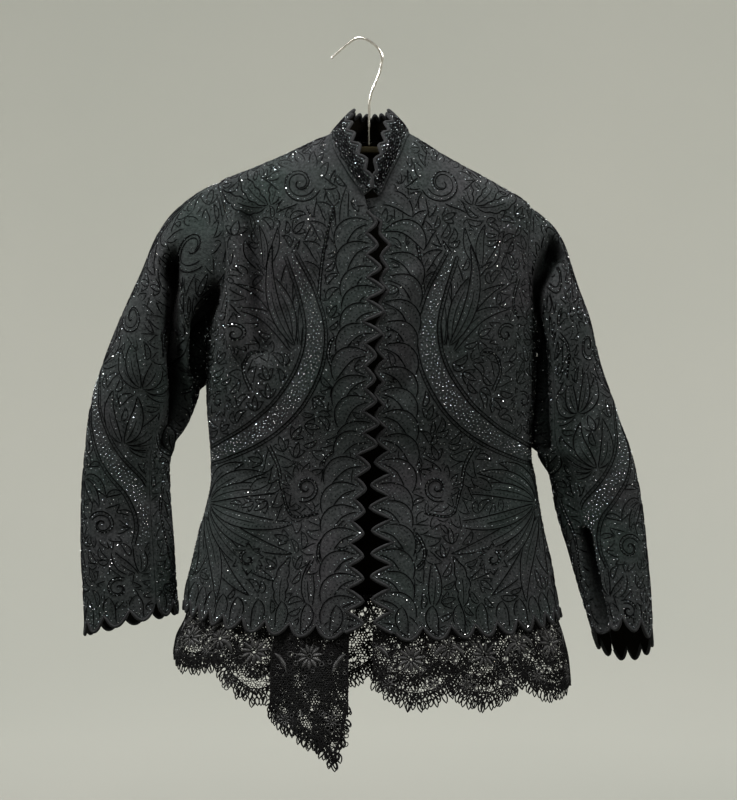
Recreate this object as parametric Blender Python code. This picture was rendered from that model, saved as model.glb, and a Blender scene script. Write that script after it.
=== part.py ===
"""Evening jacket of embroidered black wool with a lace flounce, hung on its hanger.

Metres, +Z up. The origin is the underside of the hanger's hook at its apex, where a rail holds it.
The front faces -Y, and the wearer's right side is at -X. Heights are given as drops, the distance
below the origin. Every panel is a flat cut outline, triangulated and laid on a surface worked out
from the section tables, then given its wall thickness.
"""

import math
from collections import namedtuple

import bpy
import numpy as np
from mathutils.geometry import delaunay_2d_cdt

MM = 0.001

# Driving dimensions, in millimetres
CLOTH_WALL = 2.0
LACE_WALL = 1.1
SEAM_GAP = 0.4
ARMHOLE_GAP = 0.7
COLLAR_GAP = 0.9
CENTRE_X = 14.0
FRONT_OVERLAP_LIFT = 3.4
FRONT_OVERLAP_REACH = 70.0
QUARTER_ROUND = 240.0

# Body sections from the neck to the foot of the lace: reach to each side, front and back depth,
# and the roundness exponent (2 is an ellipse, more is squarer)
BodySection = namedtuple("BodySection", "drop right_x left_x front back squareness")
BODY_SECTIONS = [
    BodySection(100, -14, 42, 32, 42, 2.0),
    BodySection(117, -32, 60, 40, 50, 2.0),
    BodySection(126, -56, 75, 45, 53, 2.0),
    BodySection(145, -96, 105, 51, 56, 2.0),
    BodySection(164, -140, 140, 56, 58, 2.0),
    BodySection(180, -177, 170, 60, 60, 2.0),
    BodySection(211, -184, 214, 66, 62, 2.1),
    BodySection(264, -187, 220, 72, 63, 2.2),
    BodySection(370, -191, 221, 78, 63, 2.3),
    BodySection(445, -192, 219, 74, 60, 2.3),
    BodySection(520, -187, 214, 64, 56, 2.3),
    BodySection(548, -186, 219, 63, 56, 2.3),
    BodySection(576, -190, 223, 65, 59, 2.3),
    BodySection(614, -201, 230, 70, 64, 2.3),
    BodySection(651, -210, 239, 74, 68, 2.2),
    BodySection(689, -219, 245, 78, 72, 2.2),
    BodySection(716, -222, 250, 80, 74, 2.2),
    BodySection(745, -235, 259, 82, 76, 2.2),
    BodySection(776, -240, 266, 83, 78, 2.2),
    BodySection(830, -243, 270, 84, 80, 2.2),
    BodySection(930, -246, 273, 84, 80, 2.2),
]

# Soft ridges (height above 0) and troughs of the fronts and the back, from start to end
BodyFold = namedtuple("BodyFold", "face start_x start_drop end_x end_drop width height")
BODY_FOLDS = [
    BodyFold("front", -155, 245, -148, 375, 13, 6),
    BodyFold("front", -133, 250, -122, 380, 16, -6),
    BodyFold("front", -88, 325, -106, 480, 34, -7),
    BodyFold("front", 82, 315, 50, 435, 17, -6),
    BodyFold("front", 140, 300, 120, 470, 45, 6),
    BodyFold("front", -150, 610, -165, 830, 24, 6),
    BodyFold("front", -95, 600, -100, 830, 26, -6),
    BodyFold("front", 90, 610, 95, 840, 26, 6),
    BodyFold("front", 150, 590, 165, 840, 26, -6),
    BodyFold("back", -110, 230, -70, 420, 26, -6),
    BodyFold("back", 125, 230, 95, 430, 26, -6),
    BodyFold("back", -120, 560, -150, 840, 30, 8),
    BodyFold("back", -40, 560, -50, 840, 30, -8),
    BodyFold("back", 45, 560, 50, 840, 30, 8),
    BodyFold("back", 130, 560, 150, 840, 30, -8),
]

# Neckline, and the way the stand collar rises and leans from it, from centre back to the front V
NeckStation = namedtuple("NeckStation", "along turn_deg drop lean_x lean_y rise")
NECK_STATIONS = [
    NeckStation(0.00, 180.0, 124, 0, -14, 33),
    NeckStation(0.20, 145.0, 121, -13, -10, 31),
    NeckStation(0.40, 90.0, 117, -26, -2, 27),
    NeckStation(0.55, 46.0, 126, -26, 12, 22),
    NeckStation(0.70, 23.0, 146, -24, 5, 18),
    NeckStation(0.85, 9.5, 172, -19, -2, 15),
    NeckStation(1.00, 1.5, 205, -7, -2, 8),
]
COLLAR_TEETH = 22
COLLAR_TOOTH_SHARE = 0.26
COLLAR_HEIGHT = 34.0
COLLAR_LENGTH = 400.0

# Front edges: where the notches between the teeth lie, and how deep the teeth are
EdgePoint = namedtuple("EdgePoint", "drop x depth")
FRONT_EDGES = {
    "right": [EdgePoint(220, 11, 12), EdgePoint(247, 9.5, 12), EdgePoint(275, 9.5, 14),
              EdgePoint(302, 11, 18), EdgePoint(330, 10, 21), EdgePoint(357, 5.5, 23),
              EdgePoint(386, 7.5, 15), EdgePoint(413, 7.5, 11), EdgePoint(437, 7.5, 13),
              EdgePoint(465, 5, 16), EdgePoint(492, 5, 20), EdgePoint(522, -3, 18), EdgePoint(561, -5, 13),
              EdgePoint(618, -10, 15), EdgePoint(671, -13, 18), EdgePoint(735, -17, 22)],
    "left": [EdgePoint(234, 33, 9), EdgePoint(260, 35.5, 10), EdgePoint(290, 33, 9),
             EdgePoint(325, 33.5, 10), EdgePoint(348, 29, 9), EdgePoint(372, 28, 9),
             EdgePoint(399, 30.5, 12), EdgePoint(427, 28, 11), EdgePoint(455, 28, 11),
             EdgePoint(498, 33, 14), EdgePoint(537, 36.5, 20), EdgePoint(570, 35, 24),
             EdgePoint(615, 39, 25), EdgePoint(680, 36, 23), EdgePoint(736, 39, 20)],
}
FRONT_TOOTH_TIP = {"right": 0.56, "left": 0.5}
FRONT_TEETH = {"right": 19, "left": 18}

# Hem: the drop of its notch line from centre front round to centre back
HemPoint = namedtuple("HemPoint", "turn_deg drop")
HEMS = {
    "right": [HemPoint(0, 730), HemPoint(40, 719), HemPoint(90, 697), HemPoint(135, 700), HemPoint(180, 704)],
    "left": [HemPoint(0, 731), HemPoint(40, 724), HemPoint(90, 706), HemPoint(135, 704), HemPoint(180, 704)],
}
HEM_TOOTH_DEPTH = 15.0
HEM_TEETH = {"front": 10, "back": 20}

# Armholes, in the body's own turn and drop
Armhole = namedtuple("Armhole", "top bottom front_deg back_deg")
ARMHOLES = {"right": Armhole(180, 374, 31, 30), "left": Armhole(211, 378, 22, 26)}

# Sleeve stations from the cap to past the cuff: outer and inner edge from the front, half depth
SleeveStation = namedtuple("SleeveStation", "outer_x outer_drop inner_x inner_drop half_depth")
SLEEVE_STATIONS = {
    "right": [
        SleeveStation(-212, 196, -196, 375, 34),
        SleeveStation(-244, 229, -195.5, 384, 41),
        SleeveStation(-274, 295, -196, 404, 45),
        SleeveStation(-300, 351, -199, 436, 44),
        SleeveStation(-322, 408, -212, 474, 41),
        SleeveStation(-337, 458, -231, 508, 37),
        SleeveStation(-343, 514, -238, 534, 33),
        SleeveStation(-348, 576, -236, 580, 31),
        SleeveStation(-349, 633, -232, 634, 29),
        SleeveStation(-346, 690, -229, 684, 28),
        SleeveStation(-344, 729, -228, 703, 28),
        SleeveStation(-344, 767, -227, 743, 28),
    ],
    "left": [
        SleeveStation(241, 227, 226, 379, 33),
        SleeveStation(254, 249, 226, 387, 40),
        SleeveStation(267, 295, 226, 403, 44),
        SleeveStation(287, 351, 225, 428, 46),
        SleeveStation(301, 408, 223, 468, 46),
        SleeveStation(321, 464, 220, 512, 45),
        SleeveStation(341, 526, 237, 546, 41),
        SleeveStation(352, 583, 245, 591, 39),
        SleeveStation(358, 633, 259, 636, 41),
        SleeveStation(363, 689, 274, 689, 44),
        SleeveStation(365, 745, 290, 739, 47),
        SleeveStation(365, 800, 305, 792, 48),
    ],
}
CUFF_STATION = 10
CUFF_TILT = {"right": 3.0, "left": 23.5}
CUFF_TOOTH_DEPTH = 16.0
CUFF_TEETH = {"top": 7, "under": 4}
CAP_BLEND = 60.0
CAP_SWELL = 0.35
CAP_FALL = {"right": 0.45, "left": 0.9}
SLEEVE_ROUND = 48.0
FRONT_SEAM_DEG = 125.0
BACK_SEAM_DEG = -110.0

# Sleeve folds, by station number and turn round the sleeve (0 outer edge, 90 front)
SleeveFold = namedtuple("SleeveFold", "start_station start_deg end_station end_deg width height")
SLEEVE_FOLDS = {
    "right": [
        SleeveFold(1.2, 66, 2.2, 98, 12, -13),
        SleeveFold(2.2, 98, 5.2, 150, 12, -15),
        SleeveFold(1.6, 40, 3.6, 70, 18, 4),
        SleeveFold(5.6, 40, 7.6, 80, 16, -4),
        SleeveFold(2.0, -90, 6.0, -120, 22, -6),
    ],
    "left": [
        SleeveFold(0.8, 30, 0.5, 85, 9, -8),
        SleeveFold(5.8, 128, 9.6, 122, 12, -8),
        SleeveFold(3.0, 60, 5.2, 100, 18, -4),
        SleeveFold(2.0, -90, 6.0, -120, 22, -6),
    ],
}

# Lace flounce: it hangs inside the hem, and its foot is scalloped. Reach is round the body from
# centre front; the foot's drop is the middle of the scallops
LacePoint = namedtuple("LacePoint", "reach drop")
LaceStretch = namedtuple("LaceStretch", "start end foot scallops scallop_depth inset flare stand_off")
LACE_STRETCHES = {
    "lace_front_right": LaceStretch(
        -100, None, [LacePoint(100, 808), LacePoint(141, 806), LacePoint(180, 790), LacePoint(222, 772),
                     LacePoint(265, 766)], 2, 22, 6.2, 2.0, -3.0),
    "lace_tail_right": LaceStretch(
        -28, -124, [LacePoint(28, 843), LacePoint(34, 866), LacePoint(45, 896), LacePoint(60, 881),
                    LacePoint(76, 868), LacePoint(100, 857), LacePoint(124, 838)], 3, 7, 3.4, 4.0, 5.0),
    "lace_front_left": LaceStretch(
        2, None, [LacePoint(0, 802), LacePoint(95, 813), LacePoint(175, 808), LacePoint(280, 798)],
        3, 22, 4.8, 2.0, 0.0),
    "lace_back": LaceStretch(
        None, None, [LacePoint(-270, 798), LacePoint(0, 806), LacePoint(270, 766)], 6, 22, 5.0, 2.0, 0.0),
}
LACE_TOP_ABOVE_HEM = 20.0
LACE_SECTION_DROP = 770.0
LACE_FREE_DROP = 745.0
LACE_FREE_REACH = 95.0
FLOWER_ABOVE_FOOT = 30.0
FLOWER_RADIUS = 14.0
FLOWER_GAPS = 7
FLOWER_GAP_SIZE = 3.0
EDGE_GAPS = 6
EDGE_GAP_SIZE = 2.6
EDGE_GAP_INSET = 7.0
GAP_SIDES = 6

# Hanger: the wire hook's route from its tip to the bar, and the bar's arms, seen from the front
RoutePoint = namedtuple("RoutePoint", "x drop")
HOOK_WIRE = 3.2
HOOK_ROUTE = [
    RoutePoint(-36, 24), RoutePoint(-25, 14), RoutePoint(-13, 4.2), RoutePoint(-5, -0.8), RoutePoint(0, -1.6),
    RoutePoint(6, -0.6), RoutePoint(15, 4.5), RoutePoint(23, 12), RoutePoint(27.5, 23), RoutePoint(26, 36),
    RoutePoint(20.5, 52), RoutePoint(14, 68), RoutePoint(11.5, 83), RoutePoint(11.3, 105), RoutePoint(11.3, 133.5),
]
BAR_RADIUS = 7.0
BAR_ROUTE = [
    RoutePoint(-156, 181.3), RoutePoint(-110, 167), RoutePoint(-50, 149), RoutePoint(11.3, 141),
    RoutePoint(75, 152), RoutePoint(140, 178), RoutePoint(190, 205.2),
]

# Colours, roughness and metallic value of the materials
Finish = namedtuple("Finish", "colour roughness metallic")
FINISHES = {
    "wool": Finish((0.022, 0.024, 0.024), 0.85, 0.0),
    "lace": Finish((0.008, 0.008, 0.009), 0.6, 0.0),
    "steel": Finish((0.72, 0.66, 0.56), 0.25, 1.0),
    "wood": Finish((0.12, 0.085, 0.045), 0.6, 0.0),
}

# Spacing of the points inside a panel
PANEL_STEP = 26.0
LACE_STEP = 17.0
POINTS_PER_TOOTH = 4


# Smooth tables

def smooth(xs, ys, x):
    """Value at x of a smooth curve through (xs, ys) that never overshoots, straight past its ends."""
    xs = np.asarray(xs, float)
    ys = np.asarray(ys, float)
    x = np.asarray(x, float)
    steps = np.diff(xs)
    slopes = np.diff(ys) / steps
    tangents = np.empty_like(ys)
    tangents[0] = slopes[0]
    tangents[-1] = slopes[-1]
    before, after = slopes[:-1], slopes[1:]
    same_way = before * after > 0
    total = np.where(same_way, before + after, 1.0)
    tangents[1:-1] = np.where(same_way, 2 * before * after / total, 0.0)
    i = np.clip(np.searchsorted(xs, x) - 1, 0, len(xs) - 2)
    h = steps[i]
    t = (x - xs[i]) / h
    inside = np.clip(t, 0, 1)
    past = (t - inside) * h
    t = inside
    value = (
        (1 + 2 * t) * (1 - t) ** 2 * ys[i]
        + t * (1 - t) ** 2 * h * tangents[i]
        + t * t * (3 - 2 * t) * ys[i + 1]
        + t * t * (t - 1) * h * tangents[i + 1]
    )
    end_slope = np.where(past < 0, tangents[0], tangents[-1])
    return value + past * end_slope


def column(rows, name):
    return [getattr(row, name) for row in rows]


def table(rows, key, name, at):
    return smooth(column(rows, key), column(rows, name), at)


def ease(t):
    t = np.clip(t, 0, 1)
    return t * t * (3 - 2 * t)


def unit(vectors):
    return vectors / np.maximum(np.linalg.norm(vectors, axis=-1, keepdims=True), 1e-12)


# The body's surface, in turn (0 at centre front, + towards the wearer's left) and drop

def signed_power(value, power):
    return np.sign(value) * np.abs(value) ** power


def body_base(turn, drop):
    section = {name: table(BODY_SECTIONS, "drop", name, drop) for name in BodySection._fields[1:]}
    power = 2 / section["squareness"]
    across = signed_power(np.sin(turn), power)
    along = signed_power(np.cos(turn), power)
    reach = np.where(across < 0, CENTRE_X - section["right_x"], section["left_x"] - CENTRE_X)
    depth = np.where(along > 0, section["front"], section["back"])
    return np.stack([CENTRE_X + reach * across, -depth * along, -np.asarray(drop, float)], axis=-1)


def body_normal(turn, drop):
    turn_step, drop_step = 0.02, 2.0
    round_way = body_base(turn + turn_step, drop) - body_base(turn - turn_step, drop)
    down_way = body_base(turn, drop + drop_step) - body_base(turn, drop - drop_step)
    return unit(np.cross(down_way, round_way))


def near_line(px, py, ax, ay, bx, by):
    """Distance from the points to a segment, and how far along it their nearest point is."""
    dx, dy = bx - ax, by - ay
    share = ((px - ax) * dx + (py - ay) * dy) / (dx * dx + dy * dy)
    held = np.clip(share, 0, 1)
    return np.hypot(px - ax - held * dx, py - ay - held * dy), held


def body_folds(points, turn):
    height = np.zeros(len(points))
    facing_front = np.cos(turn) > 0
    for fold in BODY_FOLDS:
        apart, _ = near_line(points[:, 0], -points[:, 2], fold.start_x, fold.start_drop, fold.end_x, fold.end_drop)
        on_face = facing_front if fold.face == "front" else ~facing_front
        edge_fade = ease(np.abs(np.cos(turn)) / 0.4)
        height += np.where(on_face, fold.height * np.exp(-((apart / fold.width) ** 2)) * edge_fade, 0)
    return height


def body_surface(turn, drop, inset=0.0):
    """Points of the cloth's outer face and their outward directions."""
    turn = np.asarray(turn, float)
    drop = np.asarray(drop, float)
    points = body_base(turn, drop)
    normals = body_normal(turn, drop)
    height = body_folds(points, turn) - inset
    return points + normals * height[:, None], normals


def turn_at(x, drop):
    """Turn on the front at which the body's section reaches x."""
    section = {name: table(BODY_SECTIONS, "drop", name, drop) for name in BodySection._fields[1:]}
    offset = np.asarray(x, float) - CENTRE_X
    reach = np.where(offset < 0, CENTRE_X - section["right_x"], section["left_x"] - CENTRE_X)
    share = np.clip(np.abs(offset) / reach, 0, 1)
    return np.sign(offset) * np.arcsin(share ** (section["squareness"] / 2))


# Outlines

def tooth(share):
    """Height of a rounded point over its pitch, 0 at the notches and 1 at the tip."""
    return 1 - np.abs(2 * share - 1) ** 1.35


def teeth_along(count, tip=0.5):
    """Positions along an edge of whole teeth, and the tooth's height there; tip is its place in the pitch."""
    place = np.arange(count * POINTS_PER_TOOTH + 1) / POINTS_PER_TOOTH
    part = place % 1.0
    along = np.where(part < 0.5, 2 * tip * part, tip + 2 * (1 - tip) * (part - 0.5))
    return (place - part + along) / count, tooth(part)


def front_edge(side):
    """The toothed front edge from the V down to the hem, as turn and drop."""
    rows = FRONT_EDGES[side]
    share, height = teeth_along(FRONT_TEETH[side], FRONT_TOOTH_TIP[side])
    drop = rows[0].drop + share * (rows[-1].drop - rows[0].drop)
    toward_other = 1 if side == "right" else -1
    depth = table(rows, "drop", "depth", drop) * height
    x = table(rows, "drop", "x", drop) + toward_other * depth
    return turn_at(x, drop), drop


def hem_drop(side, turn):
    return table(HEMS[side], "turn_deg", "drop", np.degrees(np.abs(turn)))


def armhole_curve(side, angles):
    """Turn and drop round the armhole: 0 at the shoulder tip, a quarter turn at the front."""
    hole = ARMHOLES[side]
    swing = np.sin(angles)
    width = np.where(swing > 0, hole.front_deg, hole.back_deg)
    turn = np.pi / 2 - np.radians(width) * swing
    drop = (hole.top + hole.bottom) / 2 - (hole.bottom - hole.top) / 2 * np.cos(angles)
    return turn, drop


def side_seam(drops, away):
    """Turn of a side or shoulder seam, kept half a gap from the other panel."""
    depth = table(BODY_SECTIONS, "drop", "front", drops)
    return np.pi / 2 + away * SEAM_GAP / depth


def run(start, end, step):
    """Evenly spaced values from start to end, at about that step."""
    return np.linspace(start, end, max(2, int(round(abs(end - start) / step)) + 1))


def neckline(side, along):
    sign = -1 if side == "right" else 1
    turn = sign * np.radians(table(NECK_STATIONS, "along", "turn_deg", along))
    return turn, table(NECK_STATIONS, "along", "drop", along)


def joined(*runs):
    """One closed outline from runs of (turn, drop), without the points where they meet twice."""
    points = np.concatenate([np.stack(r, axis=1) for r in runs])
    keep = np.ones(len(points), bool)
    scaled = points * [QUARTER_ROUND / (np.pi / 2), 1]
    for i in range(len(points)):
        gap = scaled[i] - scaled[i - 1]
        keep[i] = np.hypot(*gap) > 0.4
    return points[keep]


def front_outline(side):
    sign = -1 if side == "right" else 1
    neck = run(0.42, 1.0, 0.06)
    neck_turn, neck_drop = neckline(side, neck)
    shoulder = run(NECK_STATIONS[2].drop, ARMHOLES[side].top, 14)
    arm_turn, arm_drop = armhole_curve(side, np.linspace(0, np.pi, 13))
    flank = run(ARMHOLES[side].bottom, HEMS[side][2].drop, 30)
    share, height = teeth_along(HEM_TEETH["front"])
    edge_turn, edge_drop = front_edge(side)
    side_turn = side_seam(flank[-1:], -1)[0]
    hem_turn = side_turn + share * (abs(edge_turn[-1]) * np.sign(edge_turn[-1] * sign) - side_turn)
    hem_line = hem_drop(side, hem_turn) + HEM_TOOTH_DEPTH * height
    return joined(
        (sign * side_seam(shoulder, -1), shoulder),
        (sign * arm_turn[1:-1], arm_drop[1:-1]),
        (sign * side_seam(flank, -1), flank),
        (sign * hem_turn[1:-1], hem_line[1:-1]),
        (edge_turn[::-1], edge_drop[::-1]),
        (neck_turn[::-1][1:], neck_drop[::-1][1:]),
    )


def back_half(side):
    """The back's outline from the neck down one side to the hem, as turn and drop."""
    shoulder = run(NECK_STATIONS[2].drop, ARMHOLES[side].top, 14)
    arm_turn, arm_drop = armhole_curve(side, np.linspace(0, -np.pi, 13))
    flank = run(ARMHOLES[side].bottom, HEMS[side][2].drop, 30)
    neck_turn, neck_drop = neckline(side, run(0.0, 0.38, 0.06))
    turn = np.concatenate([
        np.abs(neck_turn), side_seam(shoulder, 1), arm_turn[1:-1], side_seam(flank, 1)])
    drop = np.concatenate([neck_drop, shoulder, arm_drop[1:-1], flank])
    return turn, drop


def back_outline():
    """Turn runs from the wearer's left side (90 degrees) through the back (180) to the right (270)."""
    left_turn, left_drop = back_half("left")
    right_turn, right_drop = back_half("right")
    right_turn = 2 * np.pi - right_turn
    share, height = teeth_along(HEM_TEETH["back"])
    hem_turn = left_turn[-1] + share * (right_turn[-1] - left_turn[-1])
    level = np.where(hem_turn < np.pi, hem_drop("left", hem_turn), hem_drop("right", 2 * np.pi - hem_turn))
    hem_line = level + HEM_TOOTH_DEPTH * height
    return joined(
        (left_turn, left_drop),
        (hem_turn[1:-1], hem_line[1:-1]),
        (right_turn[::-1], right_drop[::-1]),
    )


# Triangulated walls

def inside(outline, points):
    """Which points lie inside a closed outline."""
    x, y = points[:, 0], points[:, 1]
    ax, ay = outline[:, 0], outline[:, 1]
    bx, by = np.roll(ax, -1), np.roll(ay, -1)
    crosses = (ay[None] > y[:, None]) != (by[None] > y[:, None])
    level = np.where(by == ay, 1.0, by - ay)
    meet = ax[None] + (y[:, None] - ay[None]) / level[None] * (bx - ax)[None]
    return (crosses & (x[:, None] < meet)).sum(axis=1) % 2 == 1


def clear_of(points, loops, distance):
    """Which points are at least that far from every loop's edges."""
    clear = np.ones(len(points), bool)
    for loop in loops:
        for a, b in zip(loop, np.roll(loop, -1, axis=0)):
            apart, _ = near_line(points[:, 0], points[:, 1], a[0], a[1], b[0], b[1])
            clear &= apart > distance
    return clear


def grid_inside(outline, holes, step, row_step=None):
    """Staggered grid of points inside the outline, clear of its edges and of the holes."""
    row_step = row_step or step
    low, high = outline.min(axis=0), outline.max(axis=0)
    rows = np.arange(low[1] + row_step / 2, high[1], row_step)
    points = []
    for i, y in enumerate(rows):
        xs = np.arange(low[0] + step / 2 + (i % 2) * step / 2, high[0], step)
        points.append(np.stack([xs, np.full_like(xs, y)], axis=1))
    points = np.concatenate(points)
    points = points[inside(outline, points)]
    return points[clear_of(points, [outline, *holes], 0.42 * min(step, row_step))]


def triangles_of(outline, holes, points):
    """Flat triangulation of the outline less its holes, through the given inner points."""
    loops = [outline, *holes]
    flat = np.concatenate([*loops, points])
    edges = []
    start = 0
    for loop in loops:
        count = len(loop)
        edges += [(start + i, start + (i + 1) % count) for i in range(count)]
        start += count
    result = delaunay_2d_cdt([tuple(p) for p in flat], edges, [], 1, 1e-4)
    flat = np.array([tuple(v) for v in result[0]])
    faces = np.array([f for f in result[2] if len(f) == 3])
    middles = flat[faces].mean(axis=1)
    keep = inside(outline, middles)
    for hole in holes:
        keep &= ~inside(hole, middles)
    return flat, faces[keep]


def wall_mesh(name, flat, faces, surface, thickness):
    """A closed wall: the surface's points, the same points moved in, and the edges between them."""
    points, normals = surface(flat)
    count = len(points)
    corners = np.concatenate([points, points - normals * thickness]) * MM
    a, b, c = points[faces[:, 0]], points[faces[:, 1]], points[faces[:, 2]]
    facing = np.einsum("ij,ij->i", np.cross(b - a, c - a), normals[faces[:, 0]])
    if facing.sum() < 0:
        faces = faces[:, ::-1]
    sides = {}
    for face in faces:
        for i in range(3):
            sides[(face[i], face[(i + 1) % 3])] = True
    rim = [(i, j) for i, j in sides if (j, i) not in sides]
    polygons = [tuple(face) for face in faces]
    polygons += [tuple(face[::-1] + count) for face in faces]
    polygons += [(j, i, i + count, j + count) for i, j in rim]
    used = sorted({v for polygon in polygons for v in polygon})
    order = {v: i for i, v in enumerate(used)}
    mesh = bpy.data.meshes.new(name)
    mesh.from_pydata([tuple(corners[v]) for v in used], [], [tuple(order[v] for v in p) for p in polygons])
    mesh.validate()
    return mesh


def add_node(name, mesh, finish, crease_deg=40):
    mesh.shade_smooth()
    mesh.set_sharp_from_angle(angle=math.radians(crease_deg))
    mesh.materials.append(material(finish))
    node = bpy.data.objects.new(name, mesh)
    bpy.context.scene.collection.objects.link(node)
    return node


def material(name):
    if name in bpy.data.materials:
        return bpy.data.materials[name]
    finish = FINISHES[name]
    made = bpy.data.materials.new(name)
    made.use_nodes = True
    shader = made.node_tree.nodes["Principled BSDF"]
    shader.inputs["Base Color"].default_value = (*finish.colour, 1)
    shader.inputs["Roughness"].default_value = finish.roughness
    shader.inputs["Metallic"].default_value = finish.metallic
    made.diffuse_color = (*finish.colour, 1)
    return made


TURN_SCALE = QUARTER_ROUND / (np.pi / 2)


def to_flat(outline):
    """Turn and drop as flat lengths, so that triangles come out even."""
    return outline * [TURN_SCALE, 1]


def build_body_panel(name, outline, lift_side=None):
    flat_outline = to_flat(outline)
    inner = grid_inside(flat_outline, [], PANEL_STEP)
    flat, faces = triangles_of(flat_outline, [], inner)

    def surface(points):
        turn, drop = points[:, 0] / TURN_SCALE, points[:, 1]
        outer, normals = body_surface(turn, drop)
        if lift_side:
            edge_x = table(FRONT_EDGES[lift_side], "drop", "x", drop)
            near_edge = 1 - ease((edge_x - outer[:, 0]) / FRONT_OVERLAP_REACH)
            outer = outer + normals * (FRONT_OVERLAP_LIFT * near_edge)[:, None]
        return outer, normals

    return add_node(name, wall_mesh(name, flat, faces, surface, CLOTH_WALL), "wool")


# Collar

def collar_surface(along, height):
    """Points of the stand collar: along from -1 (right V) over 0 (back) to 1 (left V), height 0 to 1."""
    def raw(along, height):
        side = np.where(along < 0, -1.0, 1.0)
        station = np.abs(along)
        turn = side * np.radians(table(NECK_STATIONS, "along", "turn_deg", station))
        drop = table(NECK_STATIONS, "along", "drop", station)
        base, normals = body_surface(turn, drop)
        front = ease((station - 0.6) / 0.4)
        wrap = np.where(side < 0, FRONT_OVERLAP_LIFT * front, 0)
        reach_over = np.where(side < 0, 1 + 0.35 * front, 1.0)
        lean = table(NECK_STATIONS, "along", "lean_x", station) * side * reach_over
        rise = np.stack([
            lean,
            table(NECK_STATIONS, "along", "lean_y", station),
            table(NECK_STATIONS, "along", "rise", station)], axis=-1)
        way = unit(rise)
        bow = 2.5 * np.sin(np.pi * np.clip(height, 0, 1))
        foot = base + normals * wrap[:, None] + way * COLLAR_GAP
        return foot + rise * height[:, None] + normals * bow[:, None]

    along = np.asarray(along, float)
    height = np.asarray(height, float)
    points = raw(along, height)
    along_step, height_step = 0.004, 0.02
    along_way = raw(along + along_step, height) - raw(along - along_step, height)
    up_way = raw(along, height + height_step) - raw(along, height - height_step)
    return points, unit(np.cross(along_way, up_way))


def build_collar():
    share, height = teeth_along(COLLAR_TEETH)
    end = 0.985
    top_along = end - share * 2 * end
    top_height = 1 - COLLAR_TOOTH_SHARE * (1 - height)
    foot_along = run(-end, end, 0.06)
    scale = np.array([COLLAR_LENGTH / 2, COLLAR_HEIGHT])
    outline = np.concatenate([
        np.stack([foot_along, np.zeros_like(foot_along)], axis=1),
        np.stack([top_along, top_height], axis=1)]) * scale
    inner = grid_inside(outline, [], 16, 11)
    flat, faces = triangles_of(outline, [], inner)

    def surface(points):
        return collar_surface(*(points / scale).T)

    return add_node("collar", wall_mesh("collar", flat, faces, surface, CLOTH_WALL), "wool")


# Sleeves

class Sleeve:
    """A sleeve's surface, in turn round it (0 at the outer edge, + towards the front) and length."""

    def __init__(self, side):
        self.side = side
        self.sign = -1 if side == "right" else 1
        rows = SLEEVE_STATIONS[side]
        self.rows = rows
        middle = np.array([[(r.outer_x + r.inner_x) / 2, (r.outer_drop + r.inner_drop) / 2] for r in rows])
        hole = ARMHOLES[side]
        shoulder = body_base(np.array([self.sign * np.pi / 2]), np.array([(hole.top + hole.bottom) / 2]))[0]
        first = np.hypot(middle[0, 0] - shoulder[0], middle[0, 1] + shoulder[2])
        gaps = np.hypot(*np.diff(middle, axis=0).T)
        self.lengths = first + np.concatenate([[0], np.cumsum(gaps)])
        self.cuff_length = self.lengths[CUFF_STATION]

    def station(self, number):
        return np.interp(number, np.arange(len(self.lengths)), self.lengths)

    def base(self, turn, length):
        value = {name: smooth(self.lengths, column(self.rows, name), length) for name in SleeveStation._fields}
        middle = np.stack([
            (value["outer_x"] + value["inner_x"]) / 2,
            np.zeros_like(length),
            -(value["outer_drop"] + value["inner_drop"]) / 2], axis=-1)
        half = np.stack([
            (value["outer_x"] - value["inner_x"]) / 2,
            np.zeros_like(length),
            -(value["outer_drop"] - value["inner_drop"]) / 2], axis=-1)
        ring = middle + half * np.cos(turn)[:, None]
        ring[:, 1] -= value["half_depth"] * np.sin(turn)
        hole_turn, hole_drop = armhole_curve(self.side, turn)
        hole, _ = body_surface(self.sign * hole_turn, hole_drop)
        swell = length * CAP_SWELL * (1 + np.cos(turn))
        hole[:, 0] += self.sign * (ARMHOLE_GAP + swell)
        hole[:, 2] -= CAP_FALL[self.side] * swell
        share = ease(length / CAP_BLEND)[:, None]
        outward = unit(half) * (np.cos(turn) / np.linalg.norm(half, axis=1))[:, None]
        outward[:, 1] -= np.sin(turn) / value["half_depth"]
        return hole * (1 - share) + ring * share, unit(outward)

    def surface(self, turn, length):
        points, outward = self.base(turn, length)
        turn_step, length_step = 0.03, 1.5
        round_way = self.base(turn + turn_step, length)[0] - self.base(turn - turn_step, length)[0]
        ahead = np.maximum(length - length_step, 0.0)
        down_way = self.base(turn, ahead + 2 * length_step)[0] - self.base(turn, ahead)[0]
        square = unit(np.cross(round_way, down_way)) * self.sign
        past_cap = ease((length - CAP_BLEND / 2) / CAP_BLEND)[:, None]
        normals = unit(outward * (1 - past_cap) + square * past_cap)
        height = np.zeros(len(points))
        for fold in SLEEVE_FOLDS[self.side]:
            ax, bx = fold.start_deg * SLEEVE_ROUND * np.pi / 180, fold.end_deg * SLEEVE_ROUND * np.pi / 180
            ay, by = self.station(fold.start_station), self.station(fold.end_station)
            apart, _ = near_line(turn * SLEEVE_ROUND, length, ax, ay, bx, by)
            height += fold.height * np.exp(-((apart / fold.width) ** 2))
        height *= ease((length - 4) / 30)
        return points + normals * height[:, None], normals

    def cuff(self, turn):
        return self.cuff_length - CUFF_TILT[self.side] * np.sin(turn)


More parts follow.
